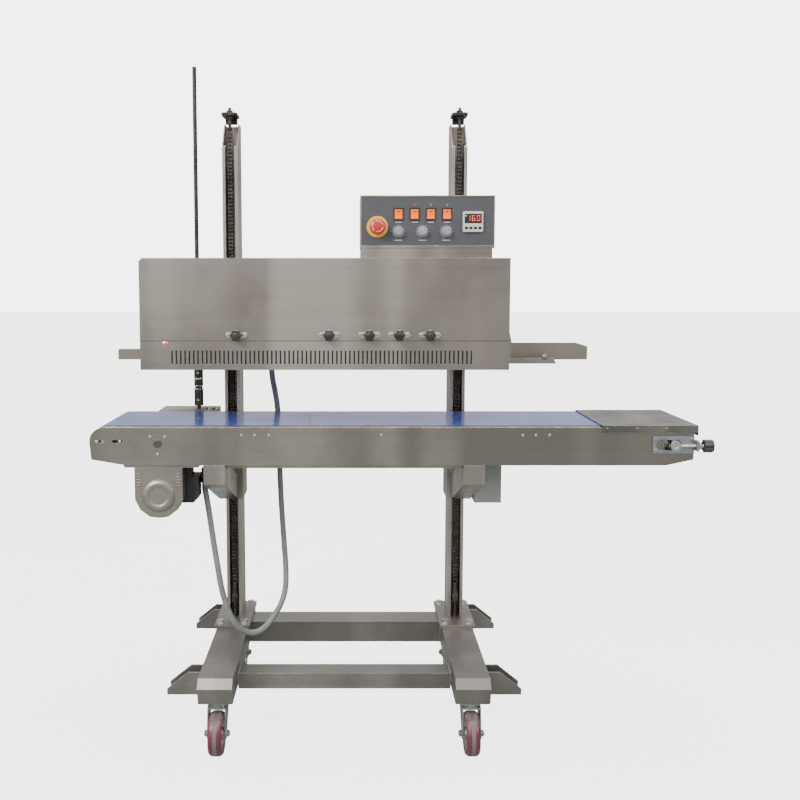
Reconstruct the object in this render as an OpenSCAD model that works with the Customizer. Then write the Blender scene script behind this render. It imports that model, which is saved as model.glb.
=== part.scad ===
// Continuous band sealer on a mobile stand.
// Millimetres. +Z is up, X runs along the conveyor, +Y points to the back.
// The origin is on the floor, below the centre of the overall box.

/* [Conveyor] */
// Length of the conveyor's side panels
conveyor_len = 1427; // [1300:10:1800]
// Height of the belt's top face above the floor
belt_top = 756; // [740:2:860]
// Height of the conveyor's side panels
panel_h = 90; // [90:2:110]
// Outside width of the conveyor, front panel to back panel
conveyor_w = 256; // [220:2:300]
// Thickness of sheet metal in the conveyor and the head
sheet_t = 2; // [1.5:0.5:3]
// Thickness of the conveyor belt
belt_t = 2; // [1.5:0.5:3]
// Radius of the drive roller
drive_roller_r = 38.7; // [30:0.1:39]

/* [Stand] */
// Distance between the two columns, centre to centre
column_gap = 590; // [520:10:700]
// Width of a column
column_w = 40; // [36:1:46]
// Depth of a column
column_d = 82; // [74:1:90]
// Wall of a column
column_t = 3; // [2:0.5:4]
// Height of a column's open channel above the floor
column_top = 1502; // [1400:10:1700]
// Width of a base beam
beam_w = 80; // [70:2:90]
// Height of a base beam
beam_h = 60; // [50:2:70]
// Length of a base beam's straight part
beam_len = 502; // [480:2:560]
// Radius of a caster wheel
wheel_r = 50; // [40:1:52]
// Width of a caster wheel
wheel_w = 32; // [26:1:36]
// Distance of a wheel's axle from its swivel axis
caster_trail = 25; // [20:1:32]

/* [Head] */
// Length of the sealing head's covers
head_len = 877; // [820:5:1000]
// Depth of the sealing head's covers
head_d = 191; // [180:1:210]
// Height of the lower edge of the head above the floor
head_bottom = 885; // [870:5:950]
// Height of the upper cover
cover_h = 196; // [180:2:230]
// Height of the lower cover, with the vents
vent_cover_h = 69; // [64:1:80]
// Number of vent slots in the lower cover
vent_count = 70; // [40:1:74]
// Width of the control box
box_w = 323; // [310:1:360]
// Height of the control box above its neck
box_h = 125; // [122:1:140]
// Radius of the wheels that carry the sealing bands
band_wheel_r = 36; // [30:1:37]
// Height of the sealing bands
band_h = 15; // [10:1:18]

/* [Drive] */
// Radius of the upright drive rod
rod_r = 5.5; // [5:0.5:7]
// Height of the rod's upper end above the floor
rod_top = 1650; // [1580:10:1800]
// Outside diameter of the power conduit
conduit_d = 15; // [10:1:16]

/* [Hidden] */
$fn = 48;
fit = 0.06;              // radial clearance of a running fit
gap = 0.3;               // clearance between curved faces that pass each other
slip = 1;                // clearance between a carriage and its column
knob_reach = 33;         // tension knob beyond the right end of the panels

// Conveyor datums
conv_l = -(conveyor_len + knob_reach) / 2;
conv_r = conv_l + conveyor_len;
conv_front = -152;
conv_back = conv_front + conveyor_w;
panel_top = belt_top - 2;
panel_bot = panel_top - panel_h;
chain_lane = 18;         // space for the drive chain behind the front panel
belt_front = conv_front + sheet_t + chain_lane;
belt_back = conv_back - sheet_t - 1;
nose_roller_r = 32.7;
tension_roller_r = 40.7;
belt_under = belt_top - belt_t;
nose_x = conv_l + 38;
nose_z = belt_under - nose_roller_r - gap;
drive_x = conv_l + 160;
drive_z = belt_under - drive_roller_r - gap;
tension_x = conv_r - 57;
tension_z = belt_under - tension_roller_r - gap;
roller_front = belt_front;
roller_back = belt_back - 1;
axle_r = 10;
tension_range = 9;       // travel of the tension roller
screw_y = conv_front - 11;

// Stand datums
col_l = conv_l + 303;
col_r = col_l + column_gap;
columns_x = [col_l, col_r];
mid_x = (col_l + col_r) / 2;
col_front = conv_back + 4;
col_back = col_front + column_d;
beam_bot = 2 * wheel_r + 30;
beam_top = beam_bot + beam_h;
beam_rear = 253;
beam_front = beam_rear - beam_len;
foot_t = 9;
foot_w = 92;
foot_y0 = col_front - 62;
foot_y1 = col_back + 39;
bolt_r = 5;
foot_top = beam_top + foot_t;
swivel_y = 205;
plate_t = 5;
chain_y = col_front + 9;
chain_bot = foot_top + 91;
cap_t = 7;
cap_z = column_top + 15;

// Carriages that slide on the columns
arm_w = 50;
arm_shift = 11;
carriage_t = 5;
arm_top = panel_bot;
arm_bot = arm_top - 142;

// Head datums
head_l = mid_x - 485;
head_r = head_l + head_len;
head_front = -107;
head_back = head_front + head_d;
head_mid = head_bottom + vent_cover_h;
head_top = head_mid + cover_h;
seam_y = -25;
band_z = head_bottom + 20;
band_t = 1;
wheel_l_x = head_l + 62;
wheel_r_x = head_r - 62;
wheel_dy = band_wheel_r + band_t + gap + 1;
deck_z = head_mid + 2;
deck_t = 6;
knob_z = head_mid + 14;
knobs_x = [for (k = [-255.5, -36, 59.5, 130, 203]) mid_x + k];

// Control box datums
neck_h = 25;
box_l = mid_x + 38;
box_front = -60;
box_back = head_back - 6;
box_bot = head_top + neck_h;
face_t = 2;
estop_x = box_l + 41;
estop_z = box_bot + 50;
rockers_x = [for (i = [0 : 3]) box_l + 91.8 + i * 38.7];
rocker_z = box_bot + 80.5;
dials_x = [for (i = [0 : 2]) box_l + 91.8 + i * 57.4];
dial_z = box_bot + 39;
meter_x = box_l + 270;
meter_z = box_bot + 62;

// Upright rod datums
rod_x = col_l - 96.5;
rod_y = col_front + 50;

// Guard and motor below the conveyor
sprocket_z = panel_bot - 74;
lane_y = conv_front + sheet_t + 8;
sprocket_r = 20;

// Route of the power conduit, from the head down to the foot and up to the motor
conduit_route = [
    [-320, 66, 885], [-320, 68, 868], [-318, 78, 840], [-314, 100, 806], [-309, 120, 753],
    [-307, 126, 670], [-305, 126, 587], [-301, 120, 500], [-294, 104, 411], [-288, 84, 340],
    [-288, 64, 294], [-297, 44, 262], [-313, 20, 238], [-332, -3, 218], [-352, -22, 210],
    [-374, -38, 214], [-396, -51, 232], [-414, -60, 262], [-427, -64, 300], [-438, -65, 345],
    [-447, -63, 400], [-456, -59, 455], [-465, -54, 515], [-473, -49, 562], [-477, -47, 585],
    [-477, -47, 602]];

steel = "#aaa096";
dark_steel = "#6f6a64";
black = "#1c1c1e";
zinc = "#b8b6ae";

// Extrudes a YZ outline from x0 to x1
module along_x(x0, x1) {
    translate([x0, 0, 0]) rotate([90, 0, 90]) linear_extrude(x1 - x0) children();
}

// Extrudes an XZ outline from y0 to y1
module along_y(y0, y1) {
    translate([0, y1, 0]) rotate([90, 0, 0]) linear_extrude(y1 - y0) children();
}

module box(low, high) {
    translate(low) cube(high - low);
}

// A round bar along Y
module bar_y(x, z, y0, y1, r) {
    along_y(y0, y1) translate([x, z]) circle(r);
}

// A round bar along X
module bar_x(y, z, x0, x1, r) {
    along_x(x0, x1) translate([y, z]) circle(r);
}

// A pan-head screw whose axis runs along Y, with its seat at y
module pan_screw(x, z, y, r = 4, side = -1) {
    bar_y(x, z, min(y, y + side * 2.4), max(y, y + side * 2.4), r);
}

// ---- Stand ----
module beam_outline(inset) {
    polygon([[beam_front + inset, beam_top - inset], [beam_front - 15 + inset, beam_top - 20],
        [beam_front - 3 + inset, beam_bot + inset], [beam_rear + inset, beam_bot + inset],
        [beam_rear + inset, beam_top - inset]]);
}

// Two triangular plates joined by a floor plate, reaching outwards from a beam
module outrigger(x, side, y0) {
    reach = 80;
    wall = 4;
    width = 45;
    height = beam_h - 6;
    outline = [[0, 0], [reach, 0], [reach, 14], [30, height], [0, height]];
    translate([x, 0, beam_bot]) mirror([side < 0 ? 1 : 0, 0, 0]) difference() {
        along_y(y0, y0 + width) polygon(outline);
        box([-1, y0 + wall, wall], [reach + 1, y0 + width - wall, height + 1]);
    }
}

module base_frame() {
    wall = 3;
    color(steel) for (x = columns_x) {
        side = x < mid_x ? -1 : 1;
        difference() {
            along_x(x - beam_w / 2, x + beam_w / 2) beam_outline(0);
            along_x(x - beam_w / 2 + wall, x + beam_w / 2 - wall) beam_outline(wall);
            for (p = foot_bolt_places(x))
                translate([p[0], p[1], beam_top - 10]) cylinder(r = bolt_r + 0.5, h = 20);
        }
        outrigger(x + side * beam_w / 2, side, -203);
        outrigger(x + side * beam_w / 2, side, 200);
    }
    color(steel) {
        x0 = col_l + beam_w / 2;
        x1 = col_r - beam_w / 2;
        rect_tube_x(x0, x1, [-150, beam_bot - 10], [-97, beam_bot + 28], 3);
        rect_tube_x(x0, x1, [97, beam_bot + 5], [169, beam_top], 3);
    }
}

function foot_bolt_places(x) =
    [for (sx = [-1, 1], y = [foot_y0 + 20, foot_y1 - 20]) [x + sx * (foot_w / 2 - 14), y]];

module rect_tube_x(x0, x1, low, high, wall) {
    difference() {
        box([x0, low[0], low[1]], [x1, high[0], high[1]]);
        box([x0 - 1, low[0] + wall, low[1] + wall], [x1 + 1, high[0] - wall, high[1] - wall]);
    }
}

// Foot plates under the columns and top plates of the casters
module base_plates() {
    color(steel) for (x = columns_x) {
        difference() {
            box([x - foot_w / 2, foot_y0, beam_top], [x + foot_w / 2, foot_y1, foot_top]);
            for (p = foot_bolt_places(x))
                translate([p[0], p[1], beam_top - 1]) cylinder(r = bolt_r + 0.5, h = foot_t + 2);
        }
        for (s = [-1, 1])
            box([x - 38, s * swivel_y - 36, beam_bot - plate_t], [x + 38, s * swivel_y + 36, beam_bot]);
    }
}

module foot_bolts() {
    color(zinc) for (x = columns_x, p = foot_bolt_places(x)) translate([p[0], p[1], 0]) {
        translate([0, 0, foot_top]) cylinder(r = 11, h = 2);
        translate([0, 0, foot_top + 2]) cylinder(r = 9.2, h = 6.4, $fn = 6);
        translate([0, 0, beam_top - 9]) cylinder(r = bolt_r, h = foot_t + 9);
    }
}

// Lipped channels, open to the front, with flanges cut back near the top
module columns() {
    lip = 8;
    cut = 47;
    cut_h = 64;
    color(steel) for (x = columns_x) difference() {
        translate([x, col_front, foot_top]) linear_extrude(column_top - foot_top) difference() {
            translate([-column_w / 2, 0]) square([column_w, column_d]);
            translate([-column_w / 2 + column_t, column_t])
                square([column_w - 2 * column_t, column_d - 2 * column_t]);
            translate([-column_w / 2 + lip, -1]) square([column_w - 2 * lip, column_t + 2]);
        }
        along_x(x - column_w, x + column_w) polygon([[col_front - 1, column_top - cut_h],
            [col_front, column_top - cut_h], [col_front + cut, column_top + 1],
                [col_front - 1, column_top + 1]]);
        bar_x(col_front + 20, column_top - 80, x, x + column_w, 3.5);
    }
}

// Cap plates with the bolts that tighten the chains, and the anchors at the chains' feet
module chain_tensioners() {
    for (x = columns_x) translate([x, 0, 0]) {
        color(steel) difference() {
            union() {
                translate([0, 0, cap_z]) linear_extrude(cap_t) polygon([[-20, col_front + 52],
                    [-20, col_front - 2], [-12, col_front - 10], [12, col_front - 10], [20, col_front - 2],
                    [20, col_front + 52]]);
                box([-15, col_front + 48 - 10, column_top], [15, col_front + 52, cap_z + 1]);
            }
            translate([0, chain_y, cap_z - 2]) cylinder(r = 5.5, h = cap_t + 4);
        }
        color(black) {
            translate([0, chain_y, cap_z - 34]) cylinder(r = 4, h = 34 + cap_t + 14);
            translate([0, chain_y, cap_z + cap_t]) cylinder(r = 8, h = 7, $fn = 6);
            translate([0, chain_y, cap_z - 7]) cylinder(r = 8, h = 7, $fn = 6);
            translate([0, chain_y, chain_bot - 49]) rotate_extrude()
                polygon([[0, 0], [11, 0], [11, 14], [8, 26], [5, 49], [0, 49]]);
        }
        color(zinc) translate([0, chain_y, foot_top]) cylinder(r = 5, h = chain_bot - 49 - foot_top);
    }
}

module lift_chains() {
    color(black) for (x = columns_x)
        box([x - 5, chain_y - 4, chain_bot], [x + 5, chain_y + 4, cap_z - 34]);
}

// Swivel fork with its race, legs, axle and nuts; side is -1 at the front
module caster_fork(x, side) {
    race_h = 13;
    leg_t = 3;
    leg_x = wheel_w / 2 + 3;
    axle_y = caster_trail * side;
    race_top = beam_bot - plate_t;
    color(zinc) translate([x, side * swivel_y, 0]) {
        translate([0, 0, race_top - race_h]) cylinder(r = 26, h = race_h);
        translate([0, 0, race_top - race_h - 5]) linear_extrude(5)
            translate([-leg_x - leg_t, -27]) square([2 * (leg_x + leg_t), 54]);
        for (s = [-1, 1]) difference() {
            along_x(s > 0 ? leg_x : -leg_x - leg_t, s > 0 ? leg_x + leg_t : -leg_x) union() {
                translate([axle_y, wheel_r]) circle(13);
                polygon([[-27, race_top - race_h - 5], [27, race_top - race_h - 5],
                    [axle_y + 13, wheel_r + 4], [axle_y + 9, wheel_r - 9], [axle_y - 9, wheel_r - 9],
                    [axle_y - 13, wheel_r + 4]]);
            }
            bar_x(axle_y, wheel_r, -40, 40, 5);
        }
        bar_x(axle_y, wheel_r, -leg_x - leg_t - 8, leg_x + leg_t + 8, 5);
        for (s = [0, 1]) mirror([s, 0, 0]) translate([leg_x + leg_t, axle_y, wheel_r]) rotate([0, 90, 0])
            difference() {
                cylinder(r = 8.5, h = 6, $fn = 6);
                translate([0, 0, -1]) cylinder(r = 5, h = 8);
            }
    }
}

module caster_wheel(x, side) {
    hub_r = wheel_r * 0.7;
    half = wheel_w / 2;
    translate([x, side * (swivel_y + caster_trail), wheel_r]) rotate([0, 90, 0]) {
        color("#7a2f3c") rotate_extrude() polygon([[hub_r, -half + 2], [wheel_r - 5, -half],
            [wheel_r - 1, -half + 5],
            [wheel_r, -half + 9], [wheel_r, half - 9], [wheel_r - 1, half - 5], [wheel_r - 5, half],
                [hub_r, half - 2]]);
        color(zinc) rotate_extrude() polygon([[5 + fit, -half], [14, -half], [14, -half + 5],
            [hub_r, -half + 5],
            [hub_r, half - 5], [14, half - 5], [14, half], [5 + fit, half]]);
    }
}

// ---- Conveyor ----
module panel_outline() {
    union() {
        translate([conv_l + 34, panel_top - 34]) circle(34);
        polygon([[conv_l + 34, panel_top], [conv_r - 9, panel_top], [conv_r - 9, panel_bot + 14],
            [conv_r - 73, panel_bot], [conv_l + 85, panel_bot], [conv_l + 4, panel_bot + 14],
                [conv_l, panel_top - 34]]);
    }
}

// A slot with round ends, drawn in XZ
module slot_outline(x, z, len, w) {
    for (s = [-1, 1]) translate([x + s * (len - w) / 2, z]) circle(w / 2);
    translate([x - (len - w) / 2, z - w / 2]) square([len - w, w]);
}

module conveyor_frame() {
    rail = 25;
    bed_t = 3;
    color(steel) {
        difference() {
            union() {
                along_y(conv_front, conv_front + sheet_t) panel_outline();
                along_y(conv_back - sheet_t, conv_back) panel_outline();
            }
            along_y(conv_front - 1, conv_back + 1) {
                for (x = [conv_l + 24, conv_l + 66]) slot_outline(x, nose_z, 24, 7);
                translate([drive_x, drive_z]) circle(axle_r + fit);
                slot_outline(tension_x - tension_range / 2, tension_z, 30 + tension_range, 30);
            }
        }
        for (y = [conv_front + 12, conv_back - 12 - rail])
            box([col_l + 14, y, panel_bot - 9], [col_r - 14, y + rail, panel_bot]);
        for (x = [col_l + 90, mid_x, col_r - 90])
            box([x - 15, conv_front + sheet_t, panel_bot], [x + 15, conv_back - sheet_t, panel_bot + 4]);
    }
    color(dark_steel) {
        box([nose_x + 20, belt_front, belt_under - bed_t], [drive_x - 22, belt_back, belt_under]);
        box([drive_x + 22, belt_front, belt_under - bed_t], [tension_x - 30, belt_back, belt_under]);
    }
    color("#27305c") box([conv_l + 34, conv_front + sheet_t, panel_top - 3],
        [conv_r - 226, belt_front - 1, panel_top + 1]);
}

// Cover plate over the right end, with a flange down its front and back
module end_cover() {
    cover_l = conv_r - 224;
    top = belt_top + 3;
    color(dark_steel) difference() {
        union() {
            box([cover_l, conv_front - 2, top - 2], [conv_r, conv_back + 2, top]);
            box([cover_l, conv_front - 2, top - 17], [conv_r, conv_front, top]);
            box([cover_l, conv_back, top - 17], [conv_r, conv_back + 2, top]);
            box([conv_r - 2, conv_front - 2, top - 24], [conv_r, conv_back + 2, top]);
        }
    }
    color(zinc) for (x = [cover_l + 10, cover_l + 82, cover_l + 150])
        pan_screw(x, top - 9, conv_front - 2);
}

module belt_outline(grow) {
    hull() {
        translate([nose_x, nose_z]) circle(nose_roller_r + gap + grow, $fn = 64);
        translate([drive_x, drive_z]) circle(drive_roller_r + gap + grow, $fn = 64);
        translate([tension_x, tension_z]) circle(tension_roller_r + gap + grow, $fn = 64);
    }
}

module conveyor_belt() {
    color("#33459a") along_y(belt_front, belt_back) difference() {
        belt_outline(belt_t);
        belt_outline(0);
    }
}

// Screws in the front panel
module conveyor_screws() {
    head_z = panel_top - 18;
    color(zinc) {
        for (x = [conv_l + 17, conv_l + 72]) pan_screw(x, nose_z, conv_front, 4);
        for (a = [-45, 45, 180]) pan_screw(drive_x + 24 * sin(a), drive_z + 24 * cos(a), conv_front, 3.4);
        for (k = [-241, -210, -177, 87, 418, 449, 481]) pan_screw(mid_x + k, head_z, conv_front, 3.4);
    }
}

// Slotted plates beside the tension roller, with the lug that holds the screw
module tension_plates() {
    x0 = tension_x - 49;
    x1 = tension_x + 48;
    color("#4d5a70") for (s = [0, 1]) {
        y0 = s == 0 ? conv_front - 3 : conv_back;
        difference() {
            along_y(y0, y0 + 3) translate([x0, tension_z - 20]) square([x1 - x0, 40]);
            along_y(y0 - 1, y0 + 4) slot_outline(tension_x - 12, tension_z, 60, 24.6);
        }
    }
    color("#4d5a70") difference() {
        box([x1, screw_y - 8, tension_z - 12], [x1 + 6, conv_front, tension_z + 12]);
        bar_x(screw_y, tension_z, x1 - 1, x1 + 7, 4 + fit);
    }
    color(zinc) for (dx = [6, 91], dz = [-14, 14])
        pan_screw(x0 + dx, tension_z + dz, conv_front - 3, 3.6);
}

// Roller along Y with a shaft that reaches past both ends
module roller(x, z, r, y0, y1, shaft0, shaft1, bore) {
    difference() {
        union() {
            bar_y(x, z, y0, y1, r);
            if (bore == 0) bar_y(x, z, shaft0, shaft1, axle_r);
        }
        if (bore > 0) bar_y(x, z, y0 - 1, y1 + 1, bore);
    }
}

module nose_roller() {
    color(zinc) roller(nose_x, nose_z, nose_roller_r, roller_front, roller_back, conv_front + sheet_t,
        conv_back - sheet_t, 0);
}

// Sprocket outline with round gaps between its teeth
module sprocket_outline(r, teeth) {
    difference() {
        circle(r);
        for (i = [0 : teeth - 1]) rotate(i * 360 / teeth) translate([r + 1, 0]) circle(3.2, $fn = 24);
    }
}

module drive_roller() {
    color(dark_steel) roller(drive_x, drive_z, drive_roller_r, roller_front, roller_back, lane_y + 3,
        conv_back + 8, 0);
    color(zinc) {
        along_y(lane_y - 3, lane_y + 3) translate([drive_x, drive_z]) sprocket_outline(sprocket_r, 12);
        bar_y(drive_x, drive_z, conv_front - 1, lane_y - 3, axle_r);
    }
}

module tension_roller() {
    color(zinc) roller(tension_x, tension_z, tension_roller_r, roller_front, roller_back, 0, 0,
        axle_r + fit);
}

// Sliding blocks with the fixed axle of the tension roller between them
module tension_blocks() {
    color(zinc) {
        for (s = [0, 1]) {
            y0 = s == 0 ? conv_front - 7 : conv_back - 4;
            bar_y(tension_x, tension_z, y0, y0 + 11, 12);
        }
        bar_y(tension_x, tension_z, conv_front + 4, conv_back - 4, axle_r);
        difference() {
            bar_y(tension_x, tension_z, screw_y - 7, conv_front - 5, 12);
            bar_y(tension_x, tension_z, screw_y - 8, screw_y - 5, 5);
            bar_x(screw_y, tension_z, tension_x - 20, tension_x + 20, 4 + fit);
        }
    }
}

// Star outline with round lobes
module star_outline(r, lobes) {
    circle(r * 0.8);
    for (i = [0 : lobes - 1]) rotate(i * 360 / lobes) translate([r * 0.72, 0]) circle(r * 0.28);
}

// Screw along X with the star knob that turns it
module tension_knob() {
    x1 = conv_r + 6;
    y = screw_y;
    color(zinc) {
        bar_x(y, tension_z, tension_x - 8, x1, 4);
        translate([tension_x + 54 + gap, y, tension_z]) rotate([0, 90, 0]) difference() {
            cylinder(r = 8, h = 6, $fn = 6);
            translate([0, 0, -1]) cylinder(r = 4, h = 8);
        }
    }
    color(black) translate([x1, y, tension_z]) rotate([0, 90, 0])
        linear_extrude(knob_reach - 6) star_outline(15.5, 7);
}

module guard_outline(inset) {
    half = 56.5 - inset;
    low = sprocket_z - 53 + inset;
    translate([drive_x, 0]) polygon([[-half, panel_bot], [-half, sprocket_z - 8], [-half + 12, low + 20],
        [-22, low + 3], [0, low], [22, low + 3], [half - 12, low + 20], [half, sprocket_z - 8],
            [half, panel_bot]]);
}

// Pressed guard with a flange, a dished boss and louvres
module chain_guard() {
    y0 = conv_front + 4;
    y1 = y0 + 36;
    wall = 1.5;
    color(steel) {
        difference() {
            union() {
                along_y(y0, y1) guard_outline(0);
                box([drive_x - 81, y0, panel_bot - 6], [drive_x + 94, y1, panel_bot]);
            }
            along_y(y0 + wall, y1 + 1) guard_outline(wall);
            box([drive_x - 79, y0 + wall, panel_bot - 4], [drive_x + 92, y1 + 1, panel_bot + 1]);
        }
        translate([drive_x, y0, sprocket_z]) rotate([90, 0, 0]) rotate_extrude()
            polygon([[0, 0], [39, 0], [37, 3], [31, 6], [25, 6], [20, 4], [0, 4]]);
        for (s = [-1, 1], k = [0 : 4])
            box([drive_x + s * 47 - 4, y0 - 1.5, panel_bot - 22 - k * 7],
                [drive_x + s * 47 + 4, y0, panel_bot - 20 - k * 7]);
    }
}

// Gearhead with the motor behind it, and the gland of the conduit
module gear_motor() {
    y0 = conv_front + 48;
    gland_x = drive_x + 93;
    color(black) {
        difference() {
            along_y(y0, y0 + 40) polygon([[drive_x - 40, sprocket_z - 27], [drive_x + 74, sprocket_z - 27],
                [drive_x + 87, sprocket_z - 14], [drive_x + 87, sprocket_z + 36],
                    [drive_x - 40, sprocket_z + 36]]);
            bar_y(drive_x, sprocket_z, y0 - 1, y0 + 30, 8 + fit);
        }
        bar_y(drive_x + 20, sprocket_z + 2, y0 + 40, y0 + 150, 34);
        bar_y(drive_x + 20, sprocket_z + 2, y0 + 150, y0 + 156, 30);
    }
    color(zinc) {
        box([drive_x - 30, y0, sprocket_z + 36], [drive_x + 70, y0 + 36, panel_bot]);
        box([gland_x - 6, y0 + 40, sprocket_z + 24], [gland_x + 12, y0 + 74, sprocket_z + 48]);
        box([drive_x + 50, y0 + 45, sprocket_z + 26], [gland_x - 6, y0 + 69, sprocket_z + 34]);
        translate([-477, -47, sprocket_z + 12]) cylinder(r = 11, h = 12);
    }
}

module motor_sprocket() {
    color(zinc) {
        along_y(lane_y - 3, lane_y + 3) translate([drive_x, sprocket_z]) sprocket_outline(sprocket_r, 12);
        bar_y(drive_x, sprocket_z, lane_y + 3, conv_front + 76, 8);
    }
}

module drive_chain() {
    color(dark_steel) along_y(lane_y - 2.5, lane_y + 2.5) difference() {
        stadium_z(drive_x, sprocket_z, drive_z, sprocket_r + 6);
        stadium_z(drive_x, sprocket_z, drive_z, sprocket_r + gap);
    }
}

module stadium_z(x, z0, z1, r) {
    for (z = [z0, z1]) translate([x, z]) circle(r);
    translate([x - r, z0]) square([2 * r, z1 - z0]);
}

// Folded arms under the conveyor, one at each column
module support_arms() {
    wall = 3;
    foot = 46;
    color(steel) for (x = columns_x) {
        side = x < mid_x ? -1 : 1;
        xc = x + side * arm_shift;
        difference() {
            along_x(xc - arm_w / 2, xc + arm_w / 2) polygon([[conv_front, arm_top],
                [conv_front, arm_top - foot],
                [carriage_front(), arm_bot], [carriage_front(), arm_top]]);
            along_x(xc - arm_w / 2 + wall, xc + arm_w / 2 - wall) polygon([[conv_front + wall, arm_top + 1],
                [conv_front + wall, arm_top - foot + wall], [carriage_front() - wall, arm_bot + 2 * wall],
                [carriage_front() - wall, arm_top + 1]]);
        }
        // Curved bracket on the inner side of the arm
        translate([xc - side * arm_w / 2, 0, arm_top]) mirror([side > 0 ? 1 : 0, 0, 0]) difference() {
            along_y(carriage_front() - 50, carriage_front() - 44)
                polygon([[0, -2], [36, -2], [36, -9], [26, -20], [20, -33], [12, -52], [0, -66]]);
            for (p = [[12, -34], [17, -18]]) bar_y(p[0], p[1], 0, carriage_front(), 4);
        }
        color(black) translate([xc - side * arm_w / 2, 0, arm_top]) mirror([side > 0 ? 1 : 0, 0, 0])
            for (p = [[12, -34], [17, -18]]) bar_y(p[0], p[1],
                carriage_front() - 55, carriage_front() - 44, 4);
    }
}

function carriage_front() = col_front - slip - carriage_t;

// A square sleeve that slides on a column
module sleeve(x, z0, z1) {
    in_w = column_w / 2 + slip;
    difference() {
        box([x - in_w - carriage_t, carriage_front(), z0],
            [x + in_w + carriage_t, col_back + slip + carriage_t, z1]);
        box([x - in_w, col_front - slip, z0 - 1], [x + in_w, col_back + slip, z1 + 1]);
    }
}

module carriages() {
    color(steel) for (x = columns_x) sleeve(x, arm_bot, arm_top - 2);
}

// Grey electrical box behind the right arm, with three small vents
module junction_box() {
    x0 = col_r + arm_shift + arm_w / 2;
    y0 = 20;
    color("#8a8984") difference() {
        box([x0, y0, arm_top - 132], [x0 + 68, y0 + 66, arm_top]);
        box([x0 + 2, y0 + 2, arm_top - 130], [x0 + 66, y0 + 67, arm_top - 2]);
        for (k = [0 : 2]) box([x0 + 30, y0 - 1, arm_top - 20 - k * 8],
            [x0 + 54, y0 + 3, arm_top - 17 - k * 8]);
    }
}

// Bevel gearbox behind the conveyor, carrying the upright rod
module gearbox() {
    x0 = drive_x - 52;
    x1 = rod_x + 52;
    y0 = conv_back + 9;
    y1 = rod_y + 45;
    low = drive_z - 28;
    color(steel) difference() {
        union() {
            box([x0, y0, low], [x1, y1, belt_top]);
            box([x0, conv_back, drive_z - 26], [x0 + 40, y0, drive_z + 26]);
            box([x1 - 30, conv_back, drive_z - 26], [x1, y0, drive_z + 26]);
        }
        box([x0 + 6, y0 + 6, low - 1], [x1 - 6, y1 - 6, belt_top - 12]);
        translate([rod_x, rod_y, belt_top - 20]) cylinder(r = rod_r + fit, h = 30);
    }
    color(zinc) for (x = [rod_x + 20, rod_x + 40])
        translate([x, rod_y - 18, belt_top]) cylinder(r = 6.5, h = 5, $fn = 6);
}

// Upright rod with its coupling
module drive_rod() {
    color(black) translate([rod_x, rod_y, 0]) {
        translate([0, 0, drive_z - 10]) cylinder(r = rod_r, h = rod_top - drive_z + 10);
        difference() {
            translate([0, 0, belt_top + 8]) rotate_extrude() polygon([[rod_r, 0], [12, 0], [12, 42],
                [10, 44],
                [10, 54], [12, 56], [12, 106], [rod_r, 106]]);
        }
    }
}

// Tube swept along a list of points
function unit(v) = v / norm(v);
function route_dir(p, i) = unit(p[min(i + 1, len(p) - 1)] - p[max(i - 1, 0)]);
function ring(c, d, r, n) =
    let (u = unit(cross(d, [0.31, 0.95, 0.05])), v = cross(d, u))
    [for (k = [0 : n - 1]) c + r * (cos(k * 360 / n) * u + sin(k * 360 / n) * v)];
function smooth(p) = [for (i = [0 : len(p) - 2], t = [0, 0.5])
    let (a = p[max(i - 1, 0)], b = p[i], c = p[i + 1], d = p[min(i + 2, len(p) - 1)])
    t == 0 ? b : (9 * (b + c) - a - d) / 16];

module swept_tube(route, r, n) {
    line = concat(smooth(route), [route[len(route) - 1]]);
    last = len(line) - 1;
    dirs = [for (i = [0 : last]) i == 0 || i == last ? [0, 0, i == 0 ? -1 : 1] : route_dir(line, i)];
    points = [for (i = [0 : last]) each ring(line[i], dirs[i], r, n)];
    sides = [for (i = [0 : last - 1], k = [0 : n - 1])
        [i * n + k, i * n + (k + 1) % n, (i + 1) * n + (k + 1) % n, (i + 1) * n + k]];
    first_cap = [for (k = [n - 1 : -1 : 0]) k];
    last_cap = [for (k = [0 : n - 1]) last * n + k];
    polyhedron(points = points, faces = concat(sides, [first_cap], [last_cap]));
}

module power_conduit() {
    color("#84878c") swept_tube(conduit_route, conduit_d / 2, 10);
}

// ---- Head ----
module head_frame() {
    in = sheet_t;
    color(steel) {
        difference() {
            box([head_l + in + 1, head_front + in + 1, deck_z],
                [head_r - in - 1, head_back - 3, deck_z + deck_t]);
            for (x = [wheel_l_x, wheel_r_x], s = [-1, 1])
                translate([x, seam_y + s * wheel_dy, deck_z - 1]) cylinder(r = 6 + fit, h = deck_t + 2);
        }
        box([head_l, head_back - 3, head_bottom + 20], [head_r, head_back, head_top]);
        for (x = columns_x) {
            sleeve(x, head_mid + 20, head_mid + 140);
            box([x - 20, head_back, head_mid + 30], [x + 20, carriage_front(), head_mid + 130]);
        }
        // Housing of the gears that take the drive from the upright rod
        difference() {
            box([rod_x - 26, head_back, head_mid + 10], [rod_x + 40, rod_y + 26, head_mid + 70]);
            translate([rod_x, rod_y, head_mid]) cylinder(r = rod_r + fit, h = 80);
        }
        // Bushes that carry the pressure knobs
        for (x = knobs_x) difference() {
            box([x - 9, head_front + 14, deck_z + deck_t], [x + 9, head_front + 30, knob_z + 9]);
            bar_y(x, knob_z, head_front, head_front + 40, 4 + fit);
        }
    }
    color(zinc) {
        translate([conduit_route[0][0], conduit_route[0][1], head_bottom]) cylinder(r = 11, h = 15);
        box([conduit_route[0][0] - 13, conduit_route[0][1] - 13, head_bottom + 15],
            [conduit_route[0][0] + 13, head_back - 3, head_bottom + 24]);
    }
}

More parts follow.
